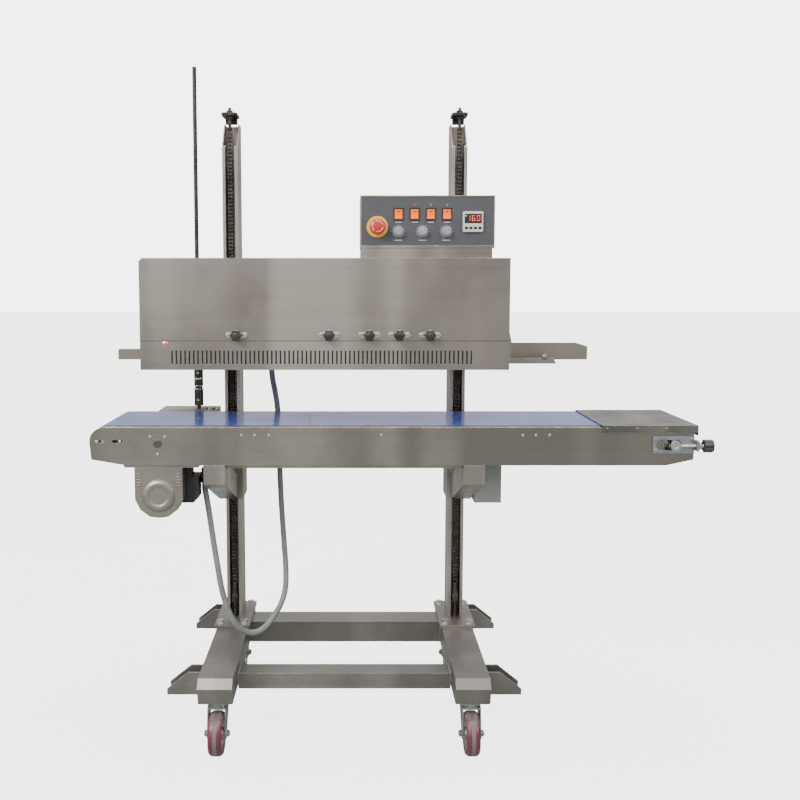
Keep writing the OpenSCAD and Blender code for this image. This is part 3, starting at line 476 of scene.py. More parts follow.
@dataclass(frozen=True)
class Glow:
    """A lit plastic, mottled between its edge colour and its main colour."""

    name: str
    colour: Colour
    edge: Colour
    strength: float

    def material(self) -> bpy.types.Material:
        """Returns the glowing material."""
        made = MaterialTree(self.name)
        cells = set_inputs(made.add("TexNoise"), Scale=90.0)
        coords = made.add("TexCoord")
        made.link(coords.outputs["Object"], cells.inputs["Vector"])
        colour = made.mix(cells.outputs["Fac"], self.edge, self.colour)
        made.link(colour, made.shader.inputs["Base Color"])
        made.link(colour, made.shader.inputs["Emission Color"])
        set_inputs(made.shader, Emission_Strength=self.strength, Roughness=0.22, Coat_Weight=0.5)
        wear = made.group(WEAR)
        made.link(wear.outputs["Normal"], made.shader.inputs["Normal"])
        return made.material


ORANGE_LENS = Glow("orange_lens", (0.95, 0.20, 0.004), (0.90, 0.10, 0.0), 0.22)
RED_DIGITS = Glow("red_digits", (1.0, 0.10, 0.05), (1.0, 0.05, 0.02), 3.0)
GREEN_LED = Glow("green_led", (0.2, 1.0, 0.25), (0.1, 0.8, 0.15), 2.0)
RED_LAMP = Glow("red_lamp", (0.9, 0.06, 0.03), (0.6, 0.03, 0.02), 0.25)


@dataclass(frozen=True)
class BeltFinish:
    """Glossy blue belt with a slanted seam across its top."""

    seam_x: float
    top: float = 0.756
    slant: float = 0.05
    seam_half: float = 0.0022
    thickness: float = 0.0012

    def material(self) -> bpy.types.Material:
        """Returns the belt's material, with a dark seam and dark cut edges."""
        finish = Finish("blue_belt", (0.035, 0.075, 0.36), (0.026, 0.055, 0.27), 0.0, 0.16, 0.10,
                        smudge_scale=6.0, worn=(0.02, 0.03, 0.12), wear=0.8, dust=0.12, coat=0.35,
                        orange_peel=900.0, bump=0.12)
        made = finish.tree()
        slanted = made.math("ADD", made.coordinate("X"),
                            made.math("MULTIPLY", made.coordinate("Y"), self.slant))
        seam = made.band(slanted, self.seam_x, self.seam_half)
        side = made.math("LESS_THAN", made.coordinate("Z"), self.top - self.thickness)
        colour = made.mix(made.math("MAXIMUM", seam, side), made.colour, (0.006, 0.010, 0.05))
        made.link(colour, made.shader.inputs["Base Color"])
        return made.material


@dataclass(frozen=True)
class WheelFinish:
    """Maroon tread with a grey stripe round its middle, on a zinc core."""

    centre_x: float
    centre: tuple[float, float]
    core_radius: float
    stripe_half: float = 0.0045

    def material(self, name: str) -> bpy.types.Material:
        """Returns the wheel's material, under the given name."""
        finish = Finish(name, (0.13, 0.018, 0.028), (0.08, 0.012, 0.018), 0.0, 0.28, smudge_scale=35.0,
                        worn=(0.35, 0.2, 0.2), wear=0.4, dust=0.5, coat=0.2)
        made = finish.tree()
        stripe = made.band(made.coordinate("X"), self.centre_x, self.stripe_half)
        across = made.math("SUBTRACT", made.coordinate("Y"), self.centre[0])
        up = made.math("SUBTRACT", made.coordinate("Z"), self.centre[1])
        squares = made.math("ADD", made.math("MULTIPLY", across, across), made.math("MULTIPLY", up, up))
        core = made.math("LESS_THAN", squares, self.core_radius ** 2)
        colour = made.mix(stripe, made.colour, (0.12, 0.11, 0.105))
        colour = made.mix(core, colour, (0.42, 0.41, 0.39))
        made.link(colour, made.shader.inputs["Base Color"])
        made.link(made.math("MULTIPLY", core, 0.8), made.shader.inputs["Metallic"])
        return made.material


# --------------------------------------------------------------------- meshes


class Piece:
    """A mesh under construction."""

    def __init__(self, name: str) -> None:
        """Starts an empty mesh with the piece's name."""
        self.name = name
        self.bm = bmesh.new()

    def lathe(self, profile: Sequence[tuple[float, float]], place: Matrix, steps: int = 32) -> None:
        """Turns a profile of (radius, height) round local Z.

        Args:
            profile: points from the foot to the top; a radius of 0 closes the end.
            place: where the turned shape goes.
            steps: faces round the circle.
        """
        rings = []
        for radius, height in profile:
            if radius == 0:
                rings.append([self.bm.verts.new(place @ Vector((0, 0, height)))])
                continue
            rings.append([self.bm.verts.new(place @ Vector((x, y, height)))
                          for x, y in disc(radius, steps)])
        self.skin(rings, closed=len(rings[0]) > 1 and len(rings[-1]) > 1)

    def skin(self, rings: list[list], closed: bool = False) -> None:
        """Joins neighbouring rings with faces, and caps open ends if closed is true."""
        for low, high in zip(rings, rings[1:]):
            count = max(len(low), len(high))
            for k in range(count):
                after = (k + 1) % count
                if len(low) == 1:
                    self.bm.faces.new((low[0], high[after], high[k]))
                elif len(high) == 1:
                    self.bm.faces.new((low[k], low[after], high[0]))
                else:
                    self.bm.faces.new((low[k], low[after], high[after], high[k]))
        if closed:
            self.bm.faces.new(list(reversed(rings[0])))
            self.bm.faces.new(rings[-1])

    def prism(self, outline: Sequence[tuple[float, float]], low: float, high: float, place: Matrix,
              chamfer: float = 0.0) -> None:
        """Extrudes an outline along local Z, with an optional chamfer on the upper rim.

        Args:
            outline: points in order round the shape.
            low: the lower height.
            high: the upper height.
            place: where the extruded shape goes.
            chamfer: how far the upper rim is cut back.
        """
        levels = [(low, 0.0), (high - chamfer, 0.0)]
        if chamfer:
            levels.append((high, chamfer))
        span = max(math.hypot(x, y) for x, y in outline)
        rings = []
        for height, cut in levels:
            factor = 1 - cut / span
            rings.append([self.bm.verts.new(place @ Vector((x * factor, y * factor, height)))
                          for x, y in outline])
        self.skin(rings, closed=True)

    def block(self, low: Point, high: Point) -> None:
        """Adds a box between two corners."""
        centre = [(a + b) / 2 for a, b in zip(low, high)]
        size = [b - a for a, b in zip(low, high)]
        place = Matrix.Translation(centre) @ Matrix.Diagonal((*size, 1.0))
        bmesh.ops.create_cube(self.bm, size=1.0, matrix=place)

    def tube(self, path: Sequence[Vector], radius: float, sides: int = 16) -> None:
        """Sweeps a circle along a path, with a frame that doesn't twist."""
        normal = Vector((1, 0, 0))
        rings = []
        for i, point in enumerate(path):
            along = (path[min(i + 1, len(path) - 1)] - path[max(i - 1, 0)]).normalized()
            normal = (normal - along * normal.dot(along)).normalized()
            side = along.cross(normal)
            rings.append([self.bm.verts.new(point + radius * (across * normal + up * side))
                          for across, up in disc(1.0, sides)])
        self.skin(rings, closed=True)

    def finish(self, material: bpy.types.Material, slot: str, bevel: float = 0.0,
               smooth: bool = True) -> bpy.types.Object:
        """Closes the mesh and makes its object.

        Args:
            material: the piece's material.
            slot: not used.
            bevel: the width of a bevel on sharp edges, or 0.
            smooth: whether faces are shaded smooth up to 35 degrees.

        Returns:
            The object, with no body yet.
        """
        bmesh.ops.recalc_face_normals(self.bm, faces=self.bm.faces)
        if bevel:
            sharp = [e for e in self.bm.edges
                     if len(e.link_faces) == 2 and e.calc_face_angle(0) > BEVEL_ABOVE]
            bmesh.ops.bevel(self.bm, geom=sharp, offset=bevel, segments=BEVEL_STEPS, affect="EDGES",
                            clamp_overlap=True)
        mesh = bpy.data.meshes.new(self.name)
        self.bm.to_mesh(mesh)
        self.bm.free()
        obj = bpy.data.objects.new(self.name, mesh)
        bpy.context.scene.collection.objects.link(obj)
        mesh.materials.append(material)
        if smooth:
            mesh.polygons.foreach_set("use_smooth", [True] * len(mesh.polygons))
            mesh.set_sharp_from_angle(angle=SMOOTH_BELOW)
        return obj


def at(x: float, y: float, z: float, axis: Axis = Axis.PLUS_Z) -> Matrix:
    """Returns the placement of a piece at a point, facing along an axis."""
    return Matrix.Translation((x, y, z)) @ axis.matrix()


def centre_of(low: Point, high: Point) -> Vector:
    """Returns the middle of a box."""
    return (Vector(low) + Vector(high)) / 2


def islands(node: str) -> list[tuple[Vector, Vector]]:
    """Returns the box of each separate solid in a CAD node, as (low, high) corners."""
    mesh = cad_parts[node].data
    keys = [tuple(round(c, 6) for c in v.co) for v in mesh.vertices]
    parent = {k: k for k in keys}

    def root(key: tuple) -> tuple:
        """Finds the key's set."""
        while parent[key] != key:
            parent[key] = parent[parent[key]]
            key = parent[key]
        return key

    for edge in mesh.edges:
        first, second = root(keys[edge.vertices[0]]), root(keys[edge.vertices[1]])
        parent[first] = second
    boxes: dict[tuple, list] = {}
    for key in parent:
        boxes.setdefault(root(key), []).append(key)
    found = [(Vector(tuple(min(c) for c in zip(*ks))), Vector(tuple(max(c) for c in zip(*ks))))
             for ks in boxes.values()]
    return sorted(found, key=lambda b: (round(b[0].x, 4), round(b[0].z, 4)))


def star(radius: float, lobes: int, depth: float, steps: int = 96) -> list[tuple[float, float]]:
    """Returns a star outline with round lobes.

    Args:
        radius: the outer radius.
        lobes: how many lobes there are.
        depth: how deep the waists cut in.
        steps: points round the outline.

    Returns:
        The outline's points.
    """
    points = []
    for k in range(steps):
        angle = 2 * math.pi * k / steps
        wave = abs(math.cos(lobes * angle / 2)) ** 0.7
        reach = radius - depth * (1 - wave)
        points.append((reach * math.cos(angle), reach * math.sin(angle)))
    return points


def rounded_rectangle(width: float, height: float, radius: float,
                      steps: int = 5) -> list[tuple[float, float]]:
    """Returns a rectangle outline with round corners, centred on the origin."""
    points = []
    for quadrant, (sx, sy) in enumerate(((1, 1), (-1, 1), (-1, -1), (1, -1))):
        for k in range(steps + 1):
            angle = math.pi / 2 * (quadrant + k / steps)
            points.append((sx * (width / 2 - radius) + radius * math.cos(angle),
                           sy * (height / 2 - radius) + radius * math.sin(angle)))
    return points


def disc(radius: float, steps: int = 24) -> list[tuple[float, float]]:
    """Returns a round outline."""
    return [(radius * math.cos(2 * math.pi * k / steps), radius * math.sin(2 * math.pi * k / steps))
            for k in range(steps)]


def dress(nodes: Iterable[str], material: bpy.types.Material) -> None:
    """Gives CAD nodes a material, in place of their plain one."""
    for name in nodes:
        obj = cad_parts[name]
        if not obj.material_slots:
            raise ValueError("the node " + name + " has no material slot")
        for each in obj.material_slots:
            each.material = material


# ------------------------------------------------------------ camera and floor


@dataclass
class Studio:
    """Camera, floor and lights."""

    eye: Point = (-0.1185, -2.237, 1.096)
    tilt_deg: float = 4.93
    lens: float = 40.5
    shift: tuple[float, float] = (0.0625, -0.0518)
    floor_half: float = 30.0
    surroundings: float = 1.45
    wall: float = 0.50
    backdrop: float = 3.6
    floor_glow: float = 3.4

    def camera(self) -> None:
        """Makes the camera at the viewer's place."""
        data = bpy.data.cameras.new("camera")
        data.lens = self.lens
        data.shift_x, data.shift_y = self.shift
        obj = bpy.data.objects.new("camera", data)
        obj.location = self.eye
        obj.rotation_euler = (math.radians(90 - self.tilt_deg), 0, 0)
        bpy.context.scene.collection.objects.link(obj)
        bpy.context.scene.camera = obj

    def floor(self) -> None:
        """Makes the plain pale floor."""
        mesh = bpy.data.meshes.new("floor")
        half = self.floor_half
        corners = [(-half, -half, 0), (half, -half, 0), (half, half, 0), (-half, half, 0)]
        mesh.from_pydata(corners, [], [(0, 1, 2, 3)])
        obj = bpy.data.objects.new("floor", mesh)
        bpy.context.scene.collection.objects.link(obj)
        made = MaterialTree("pale_floor")
        noise = set_inputs(made.add("TexNoise"), Scale=1.5)
        coords = made.add("TexCoord")
        made.link(coords.outputs["Object"], noise.inputs["Vector"])
        made.link(made.mix(noise.outputs["Fac"], (0.25, 0.29, 0.265), (0.29, 0.33, 0.305)),
                  made.shader.inputs["Base Color"])
        set_inputs(made.shader, Roughness=0.85, Emission_Color=(1.0, 1.0, 1.0, 1.0))
        rays = made.add("LightPath")
        made.link(made.math("MULTIPLY", rays.outputs["Is Camera Ray"], self.floor_glow),
                  made.shader.inputs["Emission Strength"])
        mesh.materials.append(made.material)

    def light(self, name: str, place: Point, aim: Point, size: tuple[float, float], power: float) -> None:
        """Adds a soft area light.

        Args:
            name: the light's name.
            place: where it stands.
            aim: the point it faces.
            size: its width and height.
            power: its power in watts.
        """
        data = bpy.data.lights.new(name, "AREA")
        data.shape = "RECTANGLE"
        data.size, data.size_y = size
        data.energy = power
        obj = bpy.data.objects.new(name, data)
        obj.location = place
        obj.rotation_euler = (Vector(aim) - Vector(place)).to_track_quat("-Z", "Y").to_euler()
        bpy.context.scene.collection.objects.link(obj)

    def lights(self) -> None:
        """Adds the studio lights and the pale surroundings."""
        world = bpy.data.worlds.new("studio")
        world.use_nodes = True
        background = world.node_tree.nodes["Background"]
        self.surround(world.node_tree, background)
        background.inputs[1].default_value = self.surroundings
        bpy.context.scene.world = world
        self.light("key", (-2.4, -2.6, 3.2), (0, 0, 0.9), (1.6, 1.2), 150)
        self.light("fill", (2.8, -2.2, 1.8), (0, 0, 0.8), (0.8, 2.4), 45)
        self.light("top", (0.2, 0.3, 3.6), (0, 0, 0.8), (3.0, 1.6), 80)

    def surround(self, tree: bpy.types.NodeTree, background: bpy.types.Node) -> None:
        """Feeds the surroundings a mottled room in front and a plain bright wall behind."""

        def add(kind: str, **inputs: object) -> bpy.types.Node:
            """Adds a node and sets its inputs by name."""
            node = tree.nodes.new("ShaderNode" + kind)
            for name, value in inputs.items():
                node.inputs[name].default_value = value
            return node

        coords, split = add("TexCoord"), add("SeparateXYZ")
        cloud = add("TexNoise", Scale=2.6, Detail=3.0, Roughness=0.55)
        tree.links.new(coords.outputs["Generated"], split.inputs[0])
        tree.links.new(coords.outputs["Generated"], cloud.inputs["Vector"])
        high, side = tree.nodes.new("ShaderNodeMath"), tree.nodes.new("ShaderNodeMath")
        for node, source, factor in ((high, "Z", 0.55), (side, "X", -0.35)):
            node.operation = "MULTIPLY_ADD"
            node.inputs[1].default_value = factor
            tree.links.new(split.outputs[source], node.inputs[0])
        tree.links.new(cloud.outputs["Fac"], high.inputs[2])
        tree.links.new(high.outputs[0], side.inputs[2])
        ramp = add("ValToRGB")
        tree.links.new(side.outputs[0], ramp.inputs["Fac"])
        for spot, (place, tone) in zip(ramp.color_ramp.elements, ((0.34, 0.10), (0.74, 1.25))):
            spot.position, spot.color = place, (tone, tone * 0.97, tone * 0.94, 1.0)
        behind = tree.nodes.new("ShaderNodeMapRange")
        behind.inputs["From Min"].default_value, behind.inputs["From Max"].default_value = 0.05, 0.35
        tree.links.new(split.outputs["Y"], behind.inputs["Value"])
        rays = add("LightPath")
        source = ramp.outputs["Color"]
        for mask, tone in ((behind.outputs[0], self.wall), (rays.outputs["Is Camera Ray"], self.backdrop)):
            both = tree.nodes.new("ShaderNodeMix")
            both.data_type = "RGBA"
            tree.links.new(mask, both.inputs["Factor"])
            tree.links.new(source, both.inputs[6])
            both.inputs[7].default_value = (tone, tone, tone, 1.0)
            source = both.outputs[2]
        tree.links.new(source, background.inputs[0])

    def build(self) -> None:
        """Makes the camera, floor and lights."""
        self.camera()
        self.floor()
        self.lights()


# --------------------------------------------------------------------- pieces


@dataclass
class Conduit:
    """Power conduit that hangs from the head, loops above the floor and climbs to the motor."""

    diameter: float = 0.015
    lowest: int = 14
    steps: int = 5
    grip: float = 0.05
    route_mm: tuple[Point, ...] = (
        (-320, 66, 885), (-320, 68, 868), (-318, 78, 840), (-314, 100, 806), (-309, 120, 753),
        (-307, 126, 670), (-305, 126, 587), (-301, 120, 500), (-294, 104, 411), (-288, 84, 340),
        (-288, 64, 294), (-297, 44, 262), (-313, 20, 238), (-332, -3, 218), (-352, -22, 210),
        (-374, -38, 214), (-396, -51, 232), (-414, -60, 262), (-427, -64, 300), (-438, -65, 345),
        (-447, -63, 400), (-456, -59, 455), (-465, -54, 515), (-473, -49, 562), (-477, -47, 585),
        (-477, -47, 602))

    def smooth(self, points: Sequence[Vector]) -> list[Vector]:
        """Returns a smooth path through points, with the same number of steps between each two."""
        path = []
        for i in range(len(points) - 1):
            a, b, c, d = (points[min(max(i + k, 0), len(points) - 1)] for k in (-1, 0, 1, 2))
            for k in range(self.steps):
                t = k / self.steps
                path.append(0.5 * (2 * b + (c - a) * t + (2 * a - 5 * b + 4 * c - d) * t * t
                                   + (3 * b - a - 3 * c + d) * t ** 3))
        return path + [points[-1]]

    def stretch(self, name: str, path: list[Vector], body: str,
                material: bpy.types.Material) -> bpy.types.Object:
        """Builds one stretch, from its housing down to the loop's lowest point.

        Args:
            name: the piece's name.
            path: the points it follows, from the housing down.
            body: not used.
            material: the sleeve's material.

        Returns:
            The stretch.
        """
        piece = Piece(name)
        piece.tube(path, self.diameter / 2)
        obj = piece.finish(material, "conduit")
        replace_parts(obj, "power_conduit")
        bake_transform(obj)
        return obj

    def build(self) -> None:
        """Builds both stretches."""
        points = [Vector(p) * MM for p in self.route_mm]
        path = self.smooth(points)
        split = self.lowest * self.steps
        material = SLEEVE.material()
        self.stretch("conduit_from_head", path[:split + 1], "head", material)
        self.stretch("conduit_to_motor", list(reversed(path[split:])), "conveyor", material)


@dataclass
class LiftChains:
    """Roller chains that hang in the columns."""

    pitch: float = 0.009525
    plate: float = 0.0012
    plate_half: float = 0.0042
    waist: float = 0.72
    inner_gap: float = 0.0029
    outer_gap: float = 0.0043
    roller: tuple[float, float] = (0.0031, 0.0028)
    pin: tuple[float, float] = (0.0017, 0.0064)

    def link_outline(self) -> list[tuple[float, float]]:
        """Returns the waisted outline of one side plate, along local X."""
        end = self.pitch / 2
        points = []
        for side in (1, -1):
            first = -75 if side == 1 else 105
            for k in range(7):
                angle = math.radians(first + 25 * k)
                points.append((side * end + self.plate_half * math.cos(angle),
                               self.plate_half * math.sin(angle)))
            points.append((0.0, side * self.plate_half * self.waist))
        return points

    def build(self) -> None:
        """Builds every link of both chains."""
        piece = Piece("roller_chains")
        outline = self.link_outline()
        upright = Matrix(((0, 0, 1, 0), (0, 1, 0, 0), (-1, 0, 0, 0), (0, 0, 0, 1)))
        for low, high in islands("lift_chains"):
            centre = centre_of(low, high)
            count = int((high.z - low.z) / self.pitch)
            for k in range(count):
                z = low.z + (k + 0.5) * (high.z - low.z) / count
                spot = Matrix.Translation((centre.x, centre.y, z)) @ upright
                inner = self.inner_gap if k % 2 else self.outer_gap
                for side in (-1, 1):
                    first, last = sorted((side * inner, side * (inner + self.plate)))
                    piece.prism(outline, first, last, spot)
                joint = Matrix.Translation((centre.x, centre.y, z + self.pitch / 2)) @ upright
                for (radius, half), steps in ((self.roller, 10), (self.pin, 8)):
                    piece.prism(disc(radius, steps), -half, half, joint)
        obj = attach(piece.finish(OILED.material(), "oiled_chain", smooth=False), "stand")
        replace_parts(obj, "lift_chains")
        LOG.info("lift chains built")


@dataclass
class Fasteners:
    """Button-head screws with socket recesses in the conveyor's front panel."""

    def socket_screw(self, piece: Piece, place: Matrix, radius: float, height: float) -> None:
        """Adds one button head with a round socket recess."""
        rise = height / 3
        profile = [(0, 0.0), (radius, 0.0), (radius, rise * 0.5), (radius * 0.93, rise * 1.6),
                   (radius * 0.72, rise * 2.7), (radius * 0.52, height), (radius * 0.5, height),
                   (radius * 0.45, height * 0.25), (0, height * 0.2)]
        piece.lathe(profile, place, 24)

    def build(self) -> None:
        """Replaces the plain screws."""
        piece = Piece("panel_screws")
        for low, high in islands("conveyor_screws"):
            centre = centre_of(low, high)
            self.socket_screw(piece, at(centre.x, high.y, centre.z, Axis.MINUS_Y), (high.x - low.x) / 2,
                              high.y - low.y)
        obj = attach(piece.finish(ZINC.material(), "zinc"), "conveyor")
        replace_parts(obj, "conveyor_screws")
        LOG.info("panel screws built")


@dataclass
class StarKnobs:
    """Lobed black knobs on threaded rods."""

    pitch: float = 0.00125
    root: float = 0.88
    pressure_grip: float = 0.013
    pressure_rod: float = 0.0039
    tension_grip: float = 0.0155
    tension_rod: float = 0.004
    nut_radius: float = 0.008
    pressure_back: float = 0.017
    pressure_dome: float = 0.0022
    tension_back: float = 0.024
    tension_dome: float = 0.0025

    def thread(self, piece: Piece, place: Matrix, radius: float, high: float) -> None:
        """Adds a threaded rod, as a turned profile of ridges from the placement's foot up to a height."""
        profile = [(0.0, 0.0), (radius * 0.9, 0.0)]
        for k in range(int(high / self.pitch)):
            base = k * self.pitch
            profile += [(radius * self.root, base + self.pitch * 0.25), (radius, base + self.pitch * 0.75)]
        profile += [(radius * self.root, high), (0.0, high)]
        piece.lathe(profile, place, 16)

    def head(self, piece: Piece, place: Matrix, radius: float, lobes: int, low: float, high: float) -> None:
        """Adds a moulded star with a domed middle."""
        piece.prism(star(radius, lobes, radius * 0.2), low, high, place, chamfer=radius * 0.08)
        piece.lathe([(radius * 0.55, high - 0.0005), (radius * 0.5, high + 0.0012),
                     (radius * 0.3, high + 0.002), (0, high + 0.0022)], place, 24)

    def build(self) -> None:
        """Replaces the pressure knobs and the tension knob."""
        black, steel = BLACK.material(), ZINC.material()
        for k in range(1, 6):
            node = f"pressure_knob_{k}"
            low, high = map(Vector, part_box(node))
            centre = centre_of(low, high)
            place = at(centre.x, high.y, centre.z, Axis.MINUS_Y)
            depth = high.y - low.y
            grip = Piece(node + "_grip")
            back = depth - self.pressure_back
            self.head(grip, place, self.pressure_grip, 6, back, depth - self.pressure_dome)
            collar = [(0.0055, depth - 0.0217), (0.0085, back), (0.0085, depth - 0.016)]
            grip.lathe(collar, place, 24)
            rod = Piece(node + "_rod")
            self.thread(rod, place, self.pressure_rod, depth - 0.018)
            for piece, material in ((grip, black), (rod, steel)):
                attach(piece.finish(material, "black_plastic"), node)
            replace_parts(bpy.data.objects[node + "_grip"], node)
        low, high = map(Vector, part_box("tension_knob"))
        centre = centre_of(low, high)
        length = high.x - low.x
        place = at(low.x, centre.y, centre.z, Axis.PLUS_X)
        grip, rod = Piece("tension_knob_grip"), Piece("tension_screw")
        self.head(grip, place, self.tension_grip, 7, length - self.tension_back,
                  length - self.tension_dome)
        self.thread(rod, place, self.tension_rod, length - 0.022)
        rod.prism(disc(self.nut_radius, 6), length - 0.0355, length - 0.0295, place, chamfer=0.0006)
        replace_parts(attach(grip.finish(black, "black_plastic", 0.0006), "tension_knob"), "tension_knob")
        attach(rod.finish(steel, "zinc"), "tension_knob")
        LOG.info("star knobs built")


@dataclass(frozen=True)
class MeterLayout:
    """Sizes and places on the temperature controller, as shares of its side."""

    window: tuple[float, float] = (0.84, 0.46)
    window_rise: float = 0.16
    figure: tuple[float, float] = (0.15, 0.26)
    figure_start: float = 0.30
    figure_step: float = 0.24
    figure_rise: float = 0.04
    light_across: tuple[float, float] = (0.38, 0.33)
    light_up: tuple[float, float] = (0.26, 0.31)
    key: tuple[float, float] = (0.15, 0.12)
    key_step: float = 0.22
    key_drop: float = 0.3


@dataclass
class ControlFace:
    """Face of the control box, with its switches, dials and temperature controller."""

    segment: float = 0.0012
    digit_gap: float = 0.0002
    front: float = -0.059
    meter_centre: tuple[float, float] = (0.176, 1.237)
    meter_side: float = 0.049
    meter_depth: float = 0.007
    layout: MeterLayout = MeterLayout()
    rocker_size: tuple[float, float] = (0.0200, 0.0262)
    rocker_frame: tuple[float, float] = (0.0244, 0.031)
    cap_half: float = 0.0116
    cap_width: float = 0.0188
    cap_sag: float = 0.0022
    cap_foot: float = -0.005
    dial_foot: float = 0.0139
    dial_grip: float = 0.0108
    arrow_half: float = 0.0017
    mark_depth: float = 0.0003
    tick_reach: float = 0.0163
    tick_size: tuple[float, ...] = (0.0007, 0.0006, 0.002, 1.0)

    def face(self) -> None:
        """Builds the slate face with openings for what comes through it."""
        piece = Piece("slate_face")
        low, high = map(Vector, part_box("control_panel"))
        low.y = self.front
        holes = [self.hole(f"rocker_{k}", 0.0005) for k in range(1, 5)]
        holes.append(self.hole("estop_button", -0.004))
        xs = sorted({low.x, high.x, *(x for h in holes for x in h[:2])})
        zs = sorted({low.z, high.z, *(z for h in holes for z in h[2:])})

        def solid(i: int, k: int) -> bool:
            """Returns whether cell (i, k) of the grid is on the plate and in no opening."""
            if not (0 <= i < len(xs) - 1 and 0 <= k < len(zs) - 1):
                return False
            x, z = (xs[i] + xs[i + 1]) / 2, (zs[k] + zs[k + 1]) / 2
            return not any(h[0] < x < h[1] and h[2] < z < h[3] for h in holes)

        def quad(*corners: Point) -> None:
            """Adds one face."""
            piece.bm.faces.new([piece.bm.verts.new(c) for c in corners])

        for i, k in itertools.product(range(len(xs) - 1), range(len(zs) - 1)):
            if not solid(i, k):
                continue
            x0, x1, z0, z1 = xs[i], xs[i + 1], zs[k], zs[k + 1]
            for y in (low.y, high.y):
                quad((x0, y, z0), (x1, y, z0), (x1, y, z1), (x0, y, z1))
            edges = ((i - 1, k, (x0, z0), (x0, z1)), (i + 1, k, (x1, z0), (x1, z1)),
                     (i, k - 1, (x0, z0), (x1, z0)), (i, k + 1, (x0, z1), (x1, z1)))
            for near_i, near_k, (xa, za), (xb, zb) in edges:
                if not solid(near_i, near_k):
                    quad((xa, low.y, za), (xb, low.y, zb), (xb, high.y, zb), (xa, high.y, za))
        bmesh.ops.remove_doubles(piece.bm, verts=piece.bm.verts, dist=1e-6)
        bmesh.ops.recalc_face_normals(piece.bm, faces=piece.bm.faces)
        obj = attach(piece.finish(SLATE.material(), "slate_paint", smooth=False), "head")
        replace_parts(obj, "control_panel")

    def hole(self, node: str, room: float) -> tuple[float, float, float, float]:
        """Returns the opening round a node, as low X, high X, low Z and high Z."""
        low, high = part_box(node)
        return low[0] - room, high[0] + room, low[2] - room, high[2] + room

    def rocker_frames(self, y: float) -> None:
        """Builds a black frame round each rocker, and the lit rockers."""
        black, lens = BLACK.material(), ORANGE_LENS.material()
        dark = OILED.material()
        for k in range(1, 5):
            node = f"rocker_{k}"
            low, high = map(Vector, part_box(node))
            centre = centre_of(low, high)
            frame_piece = Piece(node + "_frame")
            outer = rounded_rectangle(*self.rocker_frame, 0.002)
            inner = rounded_rectangle(*self.rocker_size, 0.001)
            place = at(centre.x, y, centre.z, Axis.MINUS_Y)
            levels = ((outer, 0.0), (outer, 0.0014), ([(a * 0.95, b * 0.96) for a, b in outer], 0.0022),
                      (inner, 0.0018), (inner, -0.002))
            rings = [[frame_piece.bm.verts.new(place @ Vector((a, b, h))) for a, b in ring]
                     for ring, h in levels]
            frame_piece.skin(rings + [rings[0]])
            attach(frame_piece.finish(black, "black_plastic"), "head")
            cap = Piece(node + "_cap")
            depth = y - low.y
            profile = []
            for i in range(13):
                t = i / 12
                bow = self.cap_sag * (2 * t - 1) ** 2
                profile.append((-self.cap_half + 2 * self.cap_half * t,
                                0.001 + bow * 0.5 + (depth - 0.0035) * (1 - t) ** 1.2))
            outline = profile + [(self.cap_half, self.cap_foot), (-self.cap_half, self.cap_foot)]
            along = Matrix.Translation((centre.x, y, centre.z)) @ Matrix(
                ((0, 0, 1, 0), (0, -1, 0, 0), (1, 0, 0, 0), (0, 0, 0, 1)))
            cap.prism(outline, -self.cap_width / 2, self.cap_width / 2, along)
            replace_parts(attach(cap.finish(lens, "orange_lens", 0.0005), node), node)
            mark = Piece(node + "_mark")
            mark.block((centre.x - 0.0006, y - 0.0026, centre.z + 0.0035),
                       (centre.x + 0.0006, y - 0.0014, centre.z + 0.0085))
            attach(mark.finish(dark, "orange_lens"), node)

    def emergency_stop(self, y: float) -> None:
        """Builds the yellow collar and the red mushroom head with its ring of arrows."""
        low, high = map(Vector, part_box("estop_button"))
        centre = centre_of(low, high)
        place = at(centre.x, y, centre.z, Axis.MINUS_Y)
        collar = Piece("estop_collar")
        collar.lathe([(0.0135, 0.0), (0.0255, 0.0), (0.0255, 0.0035), (0.0245, 0.0047), (0.0185, 0.0052),
                      (0.0135, 0.0045), (0.0135, 0.0)], place, 48)
        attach(collar.finish(YELLOW.material(), "slate_paint"), "head")
        red = Piece("estop_head")
        rise = y - low.y
        red.lathe([(0, -0.014), (0.012, -0.014), (0.012, 0.006), (0.0135, 0.009), (0.0182, 0.0145),
                   (0.019, 0.017), (0.019, 0.0215), (0.0182, 0.0245), (0.0165, 0.0262),
                   (0.013, rise - 0.0008), (0.006, rise - 0.0001), (0, rise)], place, 48)
        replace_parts(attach(red.finish(RED.material(), "red_plastic"), "estop_button"), "estop_button")
        arrows = Piece("estop_arrows")
        for k in range(3):
            self.arrow(arrows, place, math.radians(120 * k + 20), 0.0125, rise - 0.0012)
        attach(arrows.finish(WHITE_MARK.material(), "red_plastic", smooth=False), "estop_button")

    def arrow(self, piece: Piece, place: Matrix, start: float, radius: float, height: float) -> None:
        """Adds one curved arrow that lies on the head."""
        sweep = math.radians(75)
        outline = []
        for side in (1, -1):
            steps = range(9) if side == 1 else range(8, -1, -1)
            if side == -1:
                barb, tip = start + sweep, start + sweep * 1.22
                for reach, angle in ((radius + self.arrow_half, barb), (radius, tip),
                                     (radius - self.arrow_half, barb)):
                    outline.append((reach * math.cos(angle), reach * math.sin(angle)))
            for k in steps:
                angle = start + sweep * k / 8
                reach = radius + side * 0.0006
                outline.append((reach * math.cos(angle), reach * math.sin(angle)))
        piece.prism(outline, height - 0.001, height + 0.0006, place)

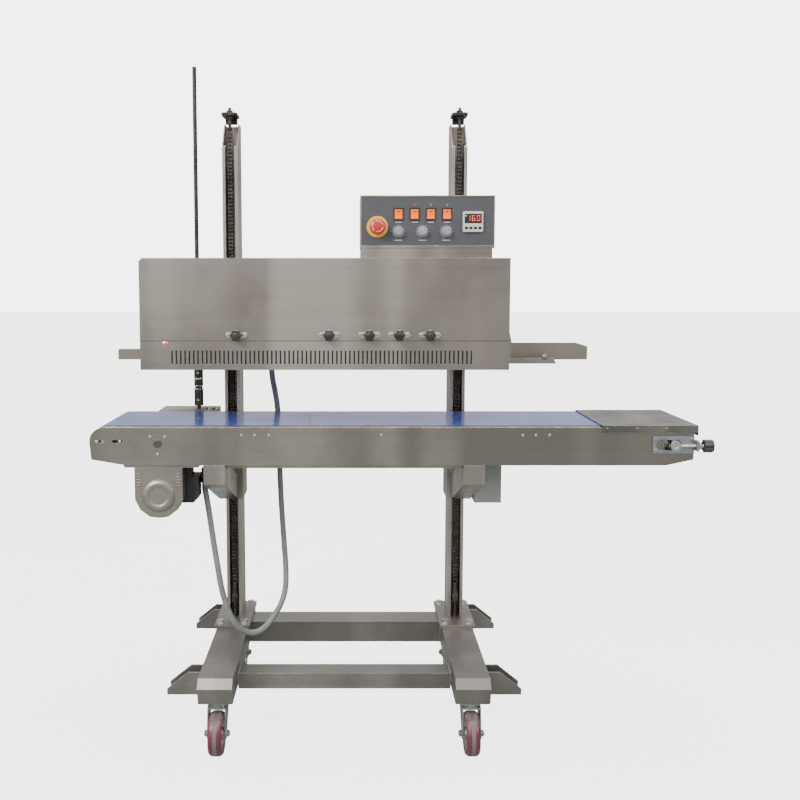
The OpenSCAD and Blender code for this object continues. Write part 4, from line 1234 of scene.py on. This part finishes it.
    def dials(self, y: float) -> None:
        """Builds the three ribbed grey knobs with pointer lines."""
        grey, white = GREY_KNOB.material(), WHITE_MARK.material()
        for k in range(1, 4):
            node = f"dial_{k}"
            low, high = map(Vector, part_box(node))
            centre = Vector(((low.x + high.x) / 2, 0, (low.z + high.z) / 2))
            place = at(centre.x, y, centre.z, Axis.MINUS_Y)
            rise = y - low.y
            knob = Piece(node + "_knob")
            knob.prism(disc(self.dial_foot, 40), 0.0004, 0.004, place, chamfer=0.0008)
            scales = itertools.cycle((0.94, 1.0))
            ribs = [(a * scale, b * scale) for (a, b), scale in zip(disc(self.dial_grip, 72), scales)]
            knob.prism(ribs, 0.004, rise - 0.0008, place, chamfer=0.0012)
            knob.lathe([(0.0085, rise - 0.0009), (0.008, rise - 0.0003), (0, rise - 0.0002)], place, 32)
            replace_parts(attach(knob.finish(grey, "grey_plastic"), node), node)
            pointer = Piece(node + "_pointer")
            pointer.block((centre.x - 0.0007, y - rise + 0.0001, centre.z + 0.002),
                          (centre.x + 0.0007, y - rise + 0.0012, centre.z + 0.0095))
            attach(pointer.finish(white, "grey_plastic"), node)

    def digit(self, piece: Piece, lit: str, x: float, y: float, z: float,
              width: float, height: float) -> None:
        """Adds one seven-segment figure.

        Args:
            piece: the mesh to add to.
            lit: which of segments a to g are lit.
            x: the figure's left edge.
            y: the face it lies on.
            z: the figure's lower edge.
            width: the figure's width.
            height: the figure's height.
        """
        t = self.segment
        half = height / 2
        bars = {"a": (0, height - t, width, height), "b": (width - t, half, width, height),
                "c": (width - t, 0, width, half), "d": (0, 0, width, t), "e": (0, 0, t, half),
                "f": (0, half, t, height), "g": (0, half - t / 2, width, half + t / 2)}
        for key in lit:
            x0, z0, x1, z1 = bars[key]
            piece.block((x + x0 + self.digit_gap, y - 0.0004, z + z0 + self.digit_gap),
                        (x + x1 - self.digit_gap, y + 0.0002, z + z1 - self.digit_gap))

    def meter(self, y: float) -> None:
        """Builds the temperature controller with its window, figures and keys."""
        centre = Vector((self.meter_centre[0], y, self.meter_centre[1]))
        side, plan = self.meter_side, self.layout
        place = at(centre.x, y, centre.z, Axis.MINUS_Y)
        case = Piece("meter_case")
        case.prism(rounded_rectangle(side, side, 0.003), 0.0, self.meter_depth, place, chamfer=0.0018)
        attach(case.finish(BEZEL.material(), "slate_paint"), "head")
        front = y - self.meter_depth
        window = Piece("meter_window")
        window.prism(rounded_rectangle(side * plan.window[0], side * plan.window[1], 0.0015), 0.0, 0.0008,
                     at(centre.x, front, centre.z + side * plan.window_rise, Axis.MINUS_Y), chamfer=0.0003)
        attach(window.finish(DARK_GLASS.material(), "slate_paint"), "head")
        figures = Piece("meter_figures")
        for k, lit in enumerate(("bc", "acdefg", "abcdef")):
            left = centre.x - side * plan.figure_start + k * side * plan.figure_step
            self.digit(figures, lit, left, front - 0.0008, centre.z + side * plan.figure_rise,
                       side * plan.figure[0], side * plan.figure[1])
        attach(figures.finish(RED_DIGITS.material(), "red_plastic", smooth=False), "head")
        led = Piece("meter_led")
        (left, right), (low, high) = plan.light_across, plan.light_up
        led.block((centre.x - side * left, front - 0.0012, centre.z + side * low),
                  (centre.x - side * right, front - 0.0006, centre.z + side * high))
        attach(led.finish(GREEN_LED.material(), "slate_paint"), "head")
        keys = Piece("meter_keys")
        for k in range(4):
            spot = at(centre.x + (k - 1.5) * side * plan.key_step, front, centre.z - side * plan.key_drop,
                      Axis.MINUS_Y)
            outline = rounded_rectangle(side * plan.key[0], side * plan.key[1], 0.001)
            keys.prism(outline, 0.0, 0.0012, spot, chamfer=0.0003)
        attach(keys.finish(BLACK.material(), "black_plastic"), "head")

    def marks(self, y: float) -> None:
        """Builds the small plain symbols above and the dashes below the switches and dials."""
        piece = Piece("panel_marks")
        tones = (RED, RED, GREEN_MARK, GREY_KNOB)
        for k, (sides, tone) in enumerate(zip((3, 24, 24, 4), tones), 1):
            low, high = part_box(f"rocker_{k}")
            x = (low[0] + high[0]) / 2
            symbol = Piece(f"panel_symbol_{k}")
            spot = at(x, y, high[2] + 0.0105, Axis.MINUS_Y)
            symbol.prism(disc(0.0030, sides), 0.0, self.mark_depth, spot)
            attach(symbol.finish(tone.material(), "slate_paint", smooth=False), "head")
            piece.block((x - 0.007, y - self.mark_depth, low[2] - 0.0085), (x + 0.007, y, low[2] - 0.0068))
        for k in range(1, 4):
            low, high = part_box(f"dial_{k}")
            x, z = (low[0] + high[0]) / 2, (low[2] + high[2]) / 2
            for step in range(11):
                turn = Matrix.Rotation(math.radians(-150 + 30 * step), 4, "Y")
                spot = Matrix.Translation((x, y, z)) @ turn @ Matrix.Translation((0, 0, self.tick_reach))
                bmesh.ops.create_cube(piece.bm, size=1.0, matrix=spot @ Matrix.Diagonal(self.tick_size))
            piece.block((x - 0.009, y - self.mark_depth, low[2] - 0.0075), (x + 0.009, y, low[2] - 0.006))
        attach(piece.finish(WHITE_MARK.material(), "slate_paint", smooth=False), "head")

    def build(self) -> None:
        """Builds everything on the face."""
        y = self.front
        self.face()
        self.rocker_frames(y)
        self.emergency_stop(y)
        self.dials(y)
        self.meter(y)
        self.marks(y)
        LOG.info("control face built")


@dataclass
class SmallDetails:
    """Weld beads, motor fins, coupling rings, lamp, cover gap, painted shade behind the vent slots and a
    painted shadow disc in the tension block's bore.
    """

    bead: float = 0.0028
    bead_step: float = 0.004
    bead_spread: tuple[float, float] = (0.85, 1.1)
    seed: int = 7
    seam_height: float = 0.9536
    beam_faces: tuple[float, float] = (-0.387, 0.123)
    beam_bottom: float = 0.131
    cross_tubes: tuple[tuple[float, ...], ...] = ((-0.150, -0.097, 0.120, 0.158),
                                                  (0.097, 0.169, 0.135, 0.189))
    barrel: tuple[float, float, float] = (0.060, 0.592, 0.034)
    fin_count: int = 17
    fin_step: float = 0.005
    fin_height: float = 0.004
    coupling_foot: float = 0.764
    lamp_place: Point = (0.060, 0.005, 0.008)
    gap_height: float = 0.0013

    def weld(self, piece: Piece, start: Vector, end: Vector, rng: random.Random) -> None:
        """Adds a rippled weld bead between two points."""
        span = (end - start).length
        count = max(3, int(span / self.bead_step))
        along = (end - start).normalized()
        for k in range(count):
            centre = start.lerp(end, (k + 0.5) / count)
            radius = self.bead * rng.uniform(*self.bead_spread)
            turn = along.to_track_quat("Z", "Y").to_matrix().to_4x4()
            place = Matrix.Translation(centre) @ turn @ Matrix.Diagonal((1.0, 1.0, 0.9, 1.0))
            bmesh.ops.create_icosphere(piece.bm, subdivisions=1, radius=radius, matrix=place)

    def welds(self) -> None:
        """Builds the beads where the cross tubes and outriggers meet the beams."""
        rng = random.Random(self.seed)
        piece = Piece("weld_beads")
        for x in self.beam_faces:
            for y0, y1, low, high in self.cross_tubes:
                foot = max(low, self.beam_bottom)
                corners = [Vector((x, y, z)) for y, z in ((y0, foot), (y0, high), (y1, high), (y1, foot))]
                for start, end in zip(corners, corners[1:]):
                    self.weld(piece, start, end, rng)
        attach(piece.finish(BASE.material(), "stainless"), "stand")

    def motor_fins(self) -> None:
        """Builds the cooling rings round the motor's barrel."""
        low = Vector(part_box("gear_motor")[0])
        across, barrel_z, radius = self.barrel
        piece = Piece("motor_fins")
        for k in range(self.fin_count):
            y = low.y + 0.052 + k * self.fin_step
            back = Matrix.Rotation(math.radians(-90), 4, "X")
            place = Matrix.Translation((low.x + across, y, barrel_z)) @ back
            piece.lathe([(radius - 0.0005, 0.0), (radius + self.fin_height, 0.0003),
                         (radius + self.fin_height, 0.0015), (radius - 0.0005, 0.0018)], place, 36)
        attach(piece.finish(MOTOR.material(), "motor_paint"), "conveyor")

    def coupling(self) -> None:
        """Builds the bright rings and set screws of the rod's coupling."""
        low, high = map(Vector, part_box("drive_rod"))
        centre = centre_of(low, high)
        rings, screws = Piece("coupling_rings"), Piece("coupling_screws")
        foot = self.coupling_foot
        for rise, tall in ((0.0435, 0.002), (0.0525, 0.002), (0.070, 0.0045), (0.0985, 0.002)):
            z = foot + rise
            profile = [(0.0118, z), (0.0124, z + 0.0003), (0.0124, z + tall), (0.0118, z + tall + 0.0003)]
            rings.lathe(profile, Matrix.Translation((centre.x, centre.y, 0)), 40)
        for z in (foot + 0.016, foot + 0.088):
            place = at(centre.x, centre.y - 0.0105, z, Axis.MINUS_Y)
            screws.lathe([(0, 0.0), (0.003, 0.0), (0.003, 0.0018), (0.0015, 0.0018), (0.0014, 0.0008),
                          (0, 0.0007)], place, 16)
        for piece in (rings, screws):
            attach(piece.finish(CHROME.material(), "oiled_chain"), "drive_rod")

    def lamp(self) -> None:
        """Builds the red lamp's dome and bezel on the lower cover."""
        low, high = map(Vector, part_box("vent_cover"))
        across, back, down = self.lamp_place
        place = at(low.x + across, low.y + back, high.z - down, Axis.MINUS_Y)
        dome, bezel = Piece("lamp_dome"), Piece("lamp_bezel")
        dome.lathe([(0.0052, 0.0), (0.0052, 0.0025), (0.0045, 0.0043), (0.0028, 0.0053), (0, 0.0056)],
                   place, 28)
        bezel.lathe([(0.0052, 0.0), (0.0075, 0.0), (0.0072, 0.0012), (0.0056, 0.0018), (0.0052, 0.0012)],
                    place, 32)
        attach(dome.finish(RED_LAMP.material(), "red_plastic"), "head")
        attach(bezel.finish(CHROME.material(), "zinc"), "head")

    def vent_painted_shade(self) -> None:
        """Builds a black sheet behind the vent slots, painted shade for the dark inside of the cover."""
        low, high = map(Vector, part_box("vent_cover"))
        piece = Piece("vent_shade_sheet")
        # the black sheet is painted shade for the dark inside of the cover
        piece.block((low.x + 0.065, low.y + 0.0076, low.z + 0.004),
                    (high.x - 0.030, low.y + 0.0082, low.z + 0.056))
        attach(piece.finish(BLACK.material(), "black_plastic", smooth=False), "head")

    def bore_shadow_disc(self) -> None:
        """Builds a black disc on the face of the tension screw's block, painted shadow for the dark inside
        of its bore.
        """
        low, high = map(Vector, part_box("tension_blocks"))
        piece = Piece("bore_shadow_disc")
        x, z = (low.x + high.x) / 2, (low.z + high.z) / 2
        # the black disc is painted shadow for the dark inside of the bore
        piece.prism(disc(0.0049, 24), 0.0, 0.0003, at(x, low.y + 0.0028, z, Axis.MINUS_Y))
        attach(piece.finish(BLACK.material(), "black_plastic", smooth=False), "tension_blocks")

    def seam(self) -> None:
        """Builds the dark gap where the upper cover meets the lower one."""
        low, high = map(Vector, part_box("upper_cover"))
        piece = Piece("cover_gap")
        piece.block((low.x + 0.001, low.y - 0.0002, self.seam_height),
                    (high.x - 0.001, low.y + 0.0008, self.seam_height + self.gap_height))
        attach(piece.finish(BLACK.material(), "black_plastic", smooth=False), "head")

    def build(self) -> None:
        """Builds all the small details."""
        self.seam()
        self.bore_shadow_disc()
        self.vent_painted_shade()
        self.welds()
        self.motor_fins()
        self.coupling()
        self.lamp()
        LOG.info("small details built")


@dataclass
class Finishes:
    """Gives every CAD node that stays in view its finish."""

    core_radius: float = 0.0352
    belt_seam_x: float = -0.2196

    def wheels(self) -> None:
        """Finishes the four caster wheels."""
        for corner in CORNERS:
            node = "caster_wheel_" + corner
            centre = centre_of(*map(Vector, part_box(node)))
            finish = WheelFinish(centre.x, (centre.y, centre.z), self.core_radius)
            dress([node], finish.material("tread_" + corner))

    def build(self) -> None:
        """Finishes the frame, covers, rollers and fittings."""
        dress(["base_frame", "base_plates"], BASE.material())
        dress(["columns"], COLUMN.material())
        dress(["support_arms", "carriages", "chain_guard", "gearbox", "head_frame", "infeed_guide"],
              SHEET.material())
        dress(["upper_cover", "vent_cover", "control_box"], COVER.material())
        dress(["conveyor_frame"], PANEL.material())
        # the darker steel here is painted dark reflection
        dress(["end_cover", "drive_roller"], DARK_REFLECTION_SHEET.material())
        dress(["tension_plates"], PLATE_PAINT.material())
        dress(["foot_bolts", "tension_blocks", "nose_roller", "tension_roller", "motor_sprocket"],
              ZINC.material())
        # the forks' green tint is painted floor reflection
        dress([f"caster_fork_{c}" for c in CORNERS], FORK.material())
        dress([f"band_wheel_{place}" for place in ("lf", "lb", "rf", "rb")], ZINC.material())
        dress(["knob_flanges"], CHROME.material())
        dress(["chain_tensioners", "lift_chains", "drive_chain", "drive_rod"], OILED.material())
        dress(["gear_motor"], MOTOR.material())
        dress(["junction_box"], GREY_BOX.material())
        dress(["sealing_bands"], CLOTH.material())
        dress(["seal_blocks"], BLOCKS.material())
        dress(["conveyor_belt"], BeltFinish(self.belt_seam_x).material())
        self.wheels()
        LOG.info("finishes given")


def main() -> None:
    """Builds the studio, the cords, the pieces and the finishes."""
    logging.basicConfig(level=logging.INFO, format="%(name)s: %(message)s")
    Studio().build()
    Conduit().build()
    Finishes().build()
    LiftChains().build()
    Fasteners().build()
    StarKnobs().build()
    ControlFace().build()
    SmallDetails().build()


if __name__ == "__main__":
    main()
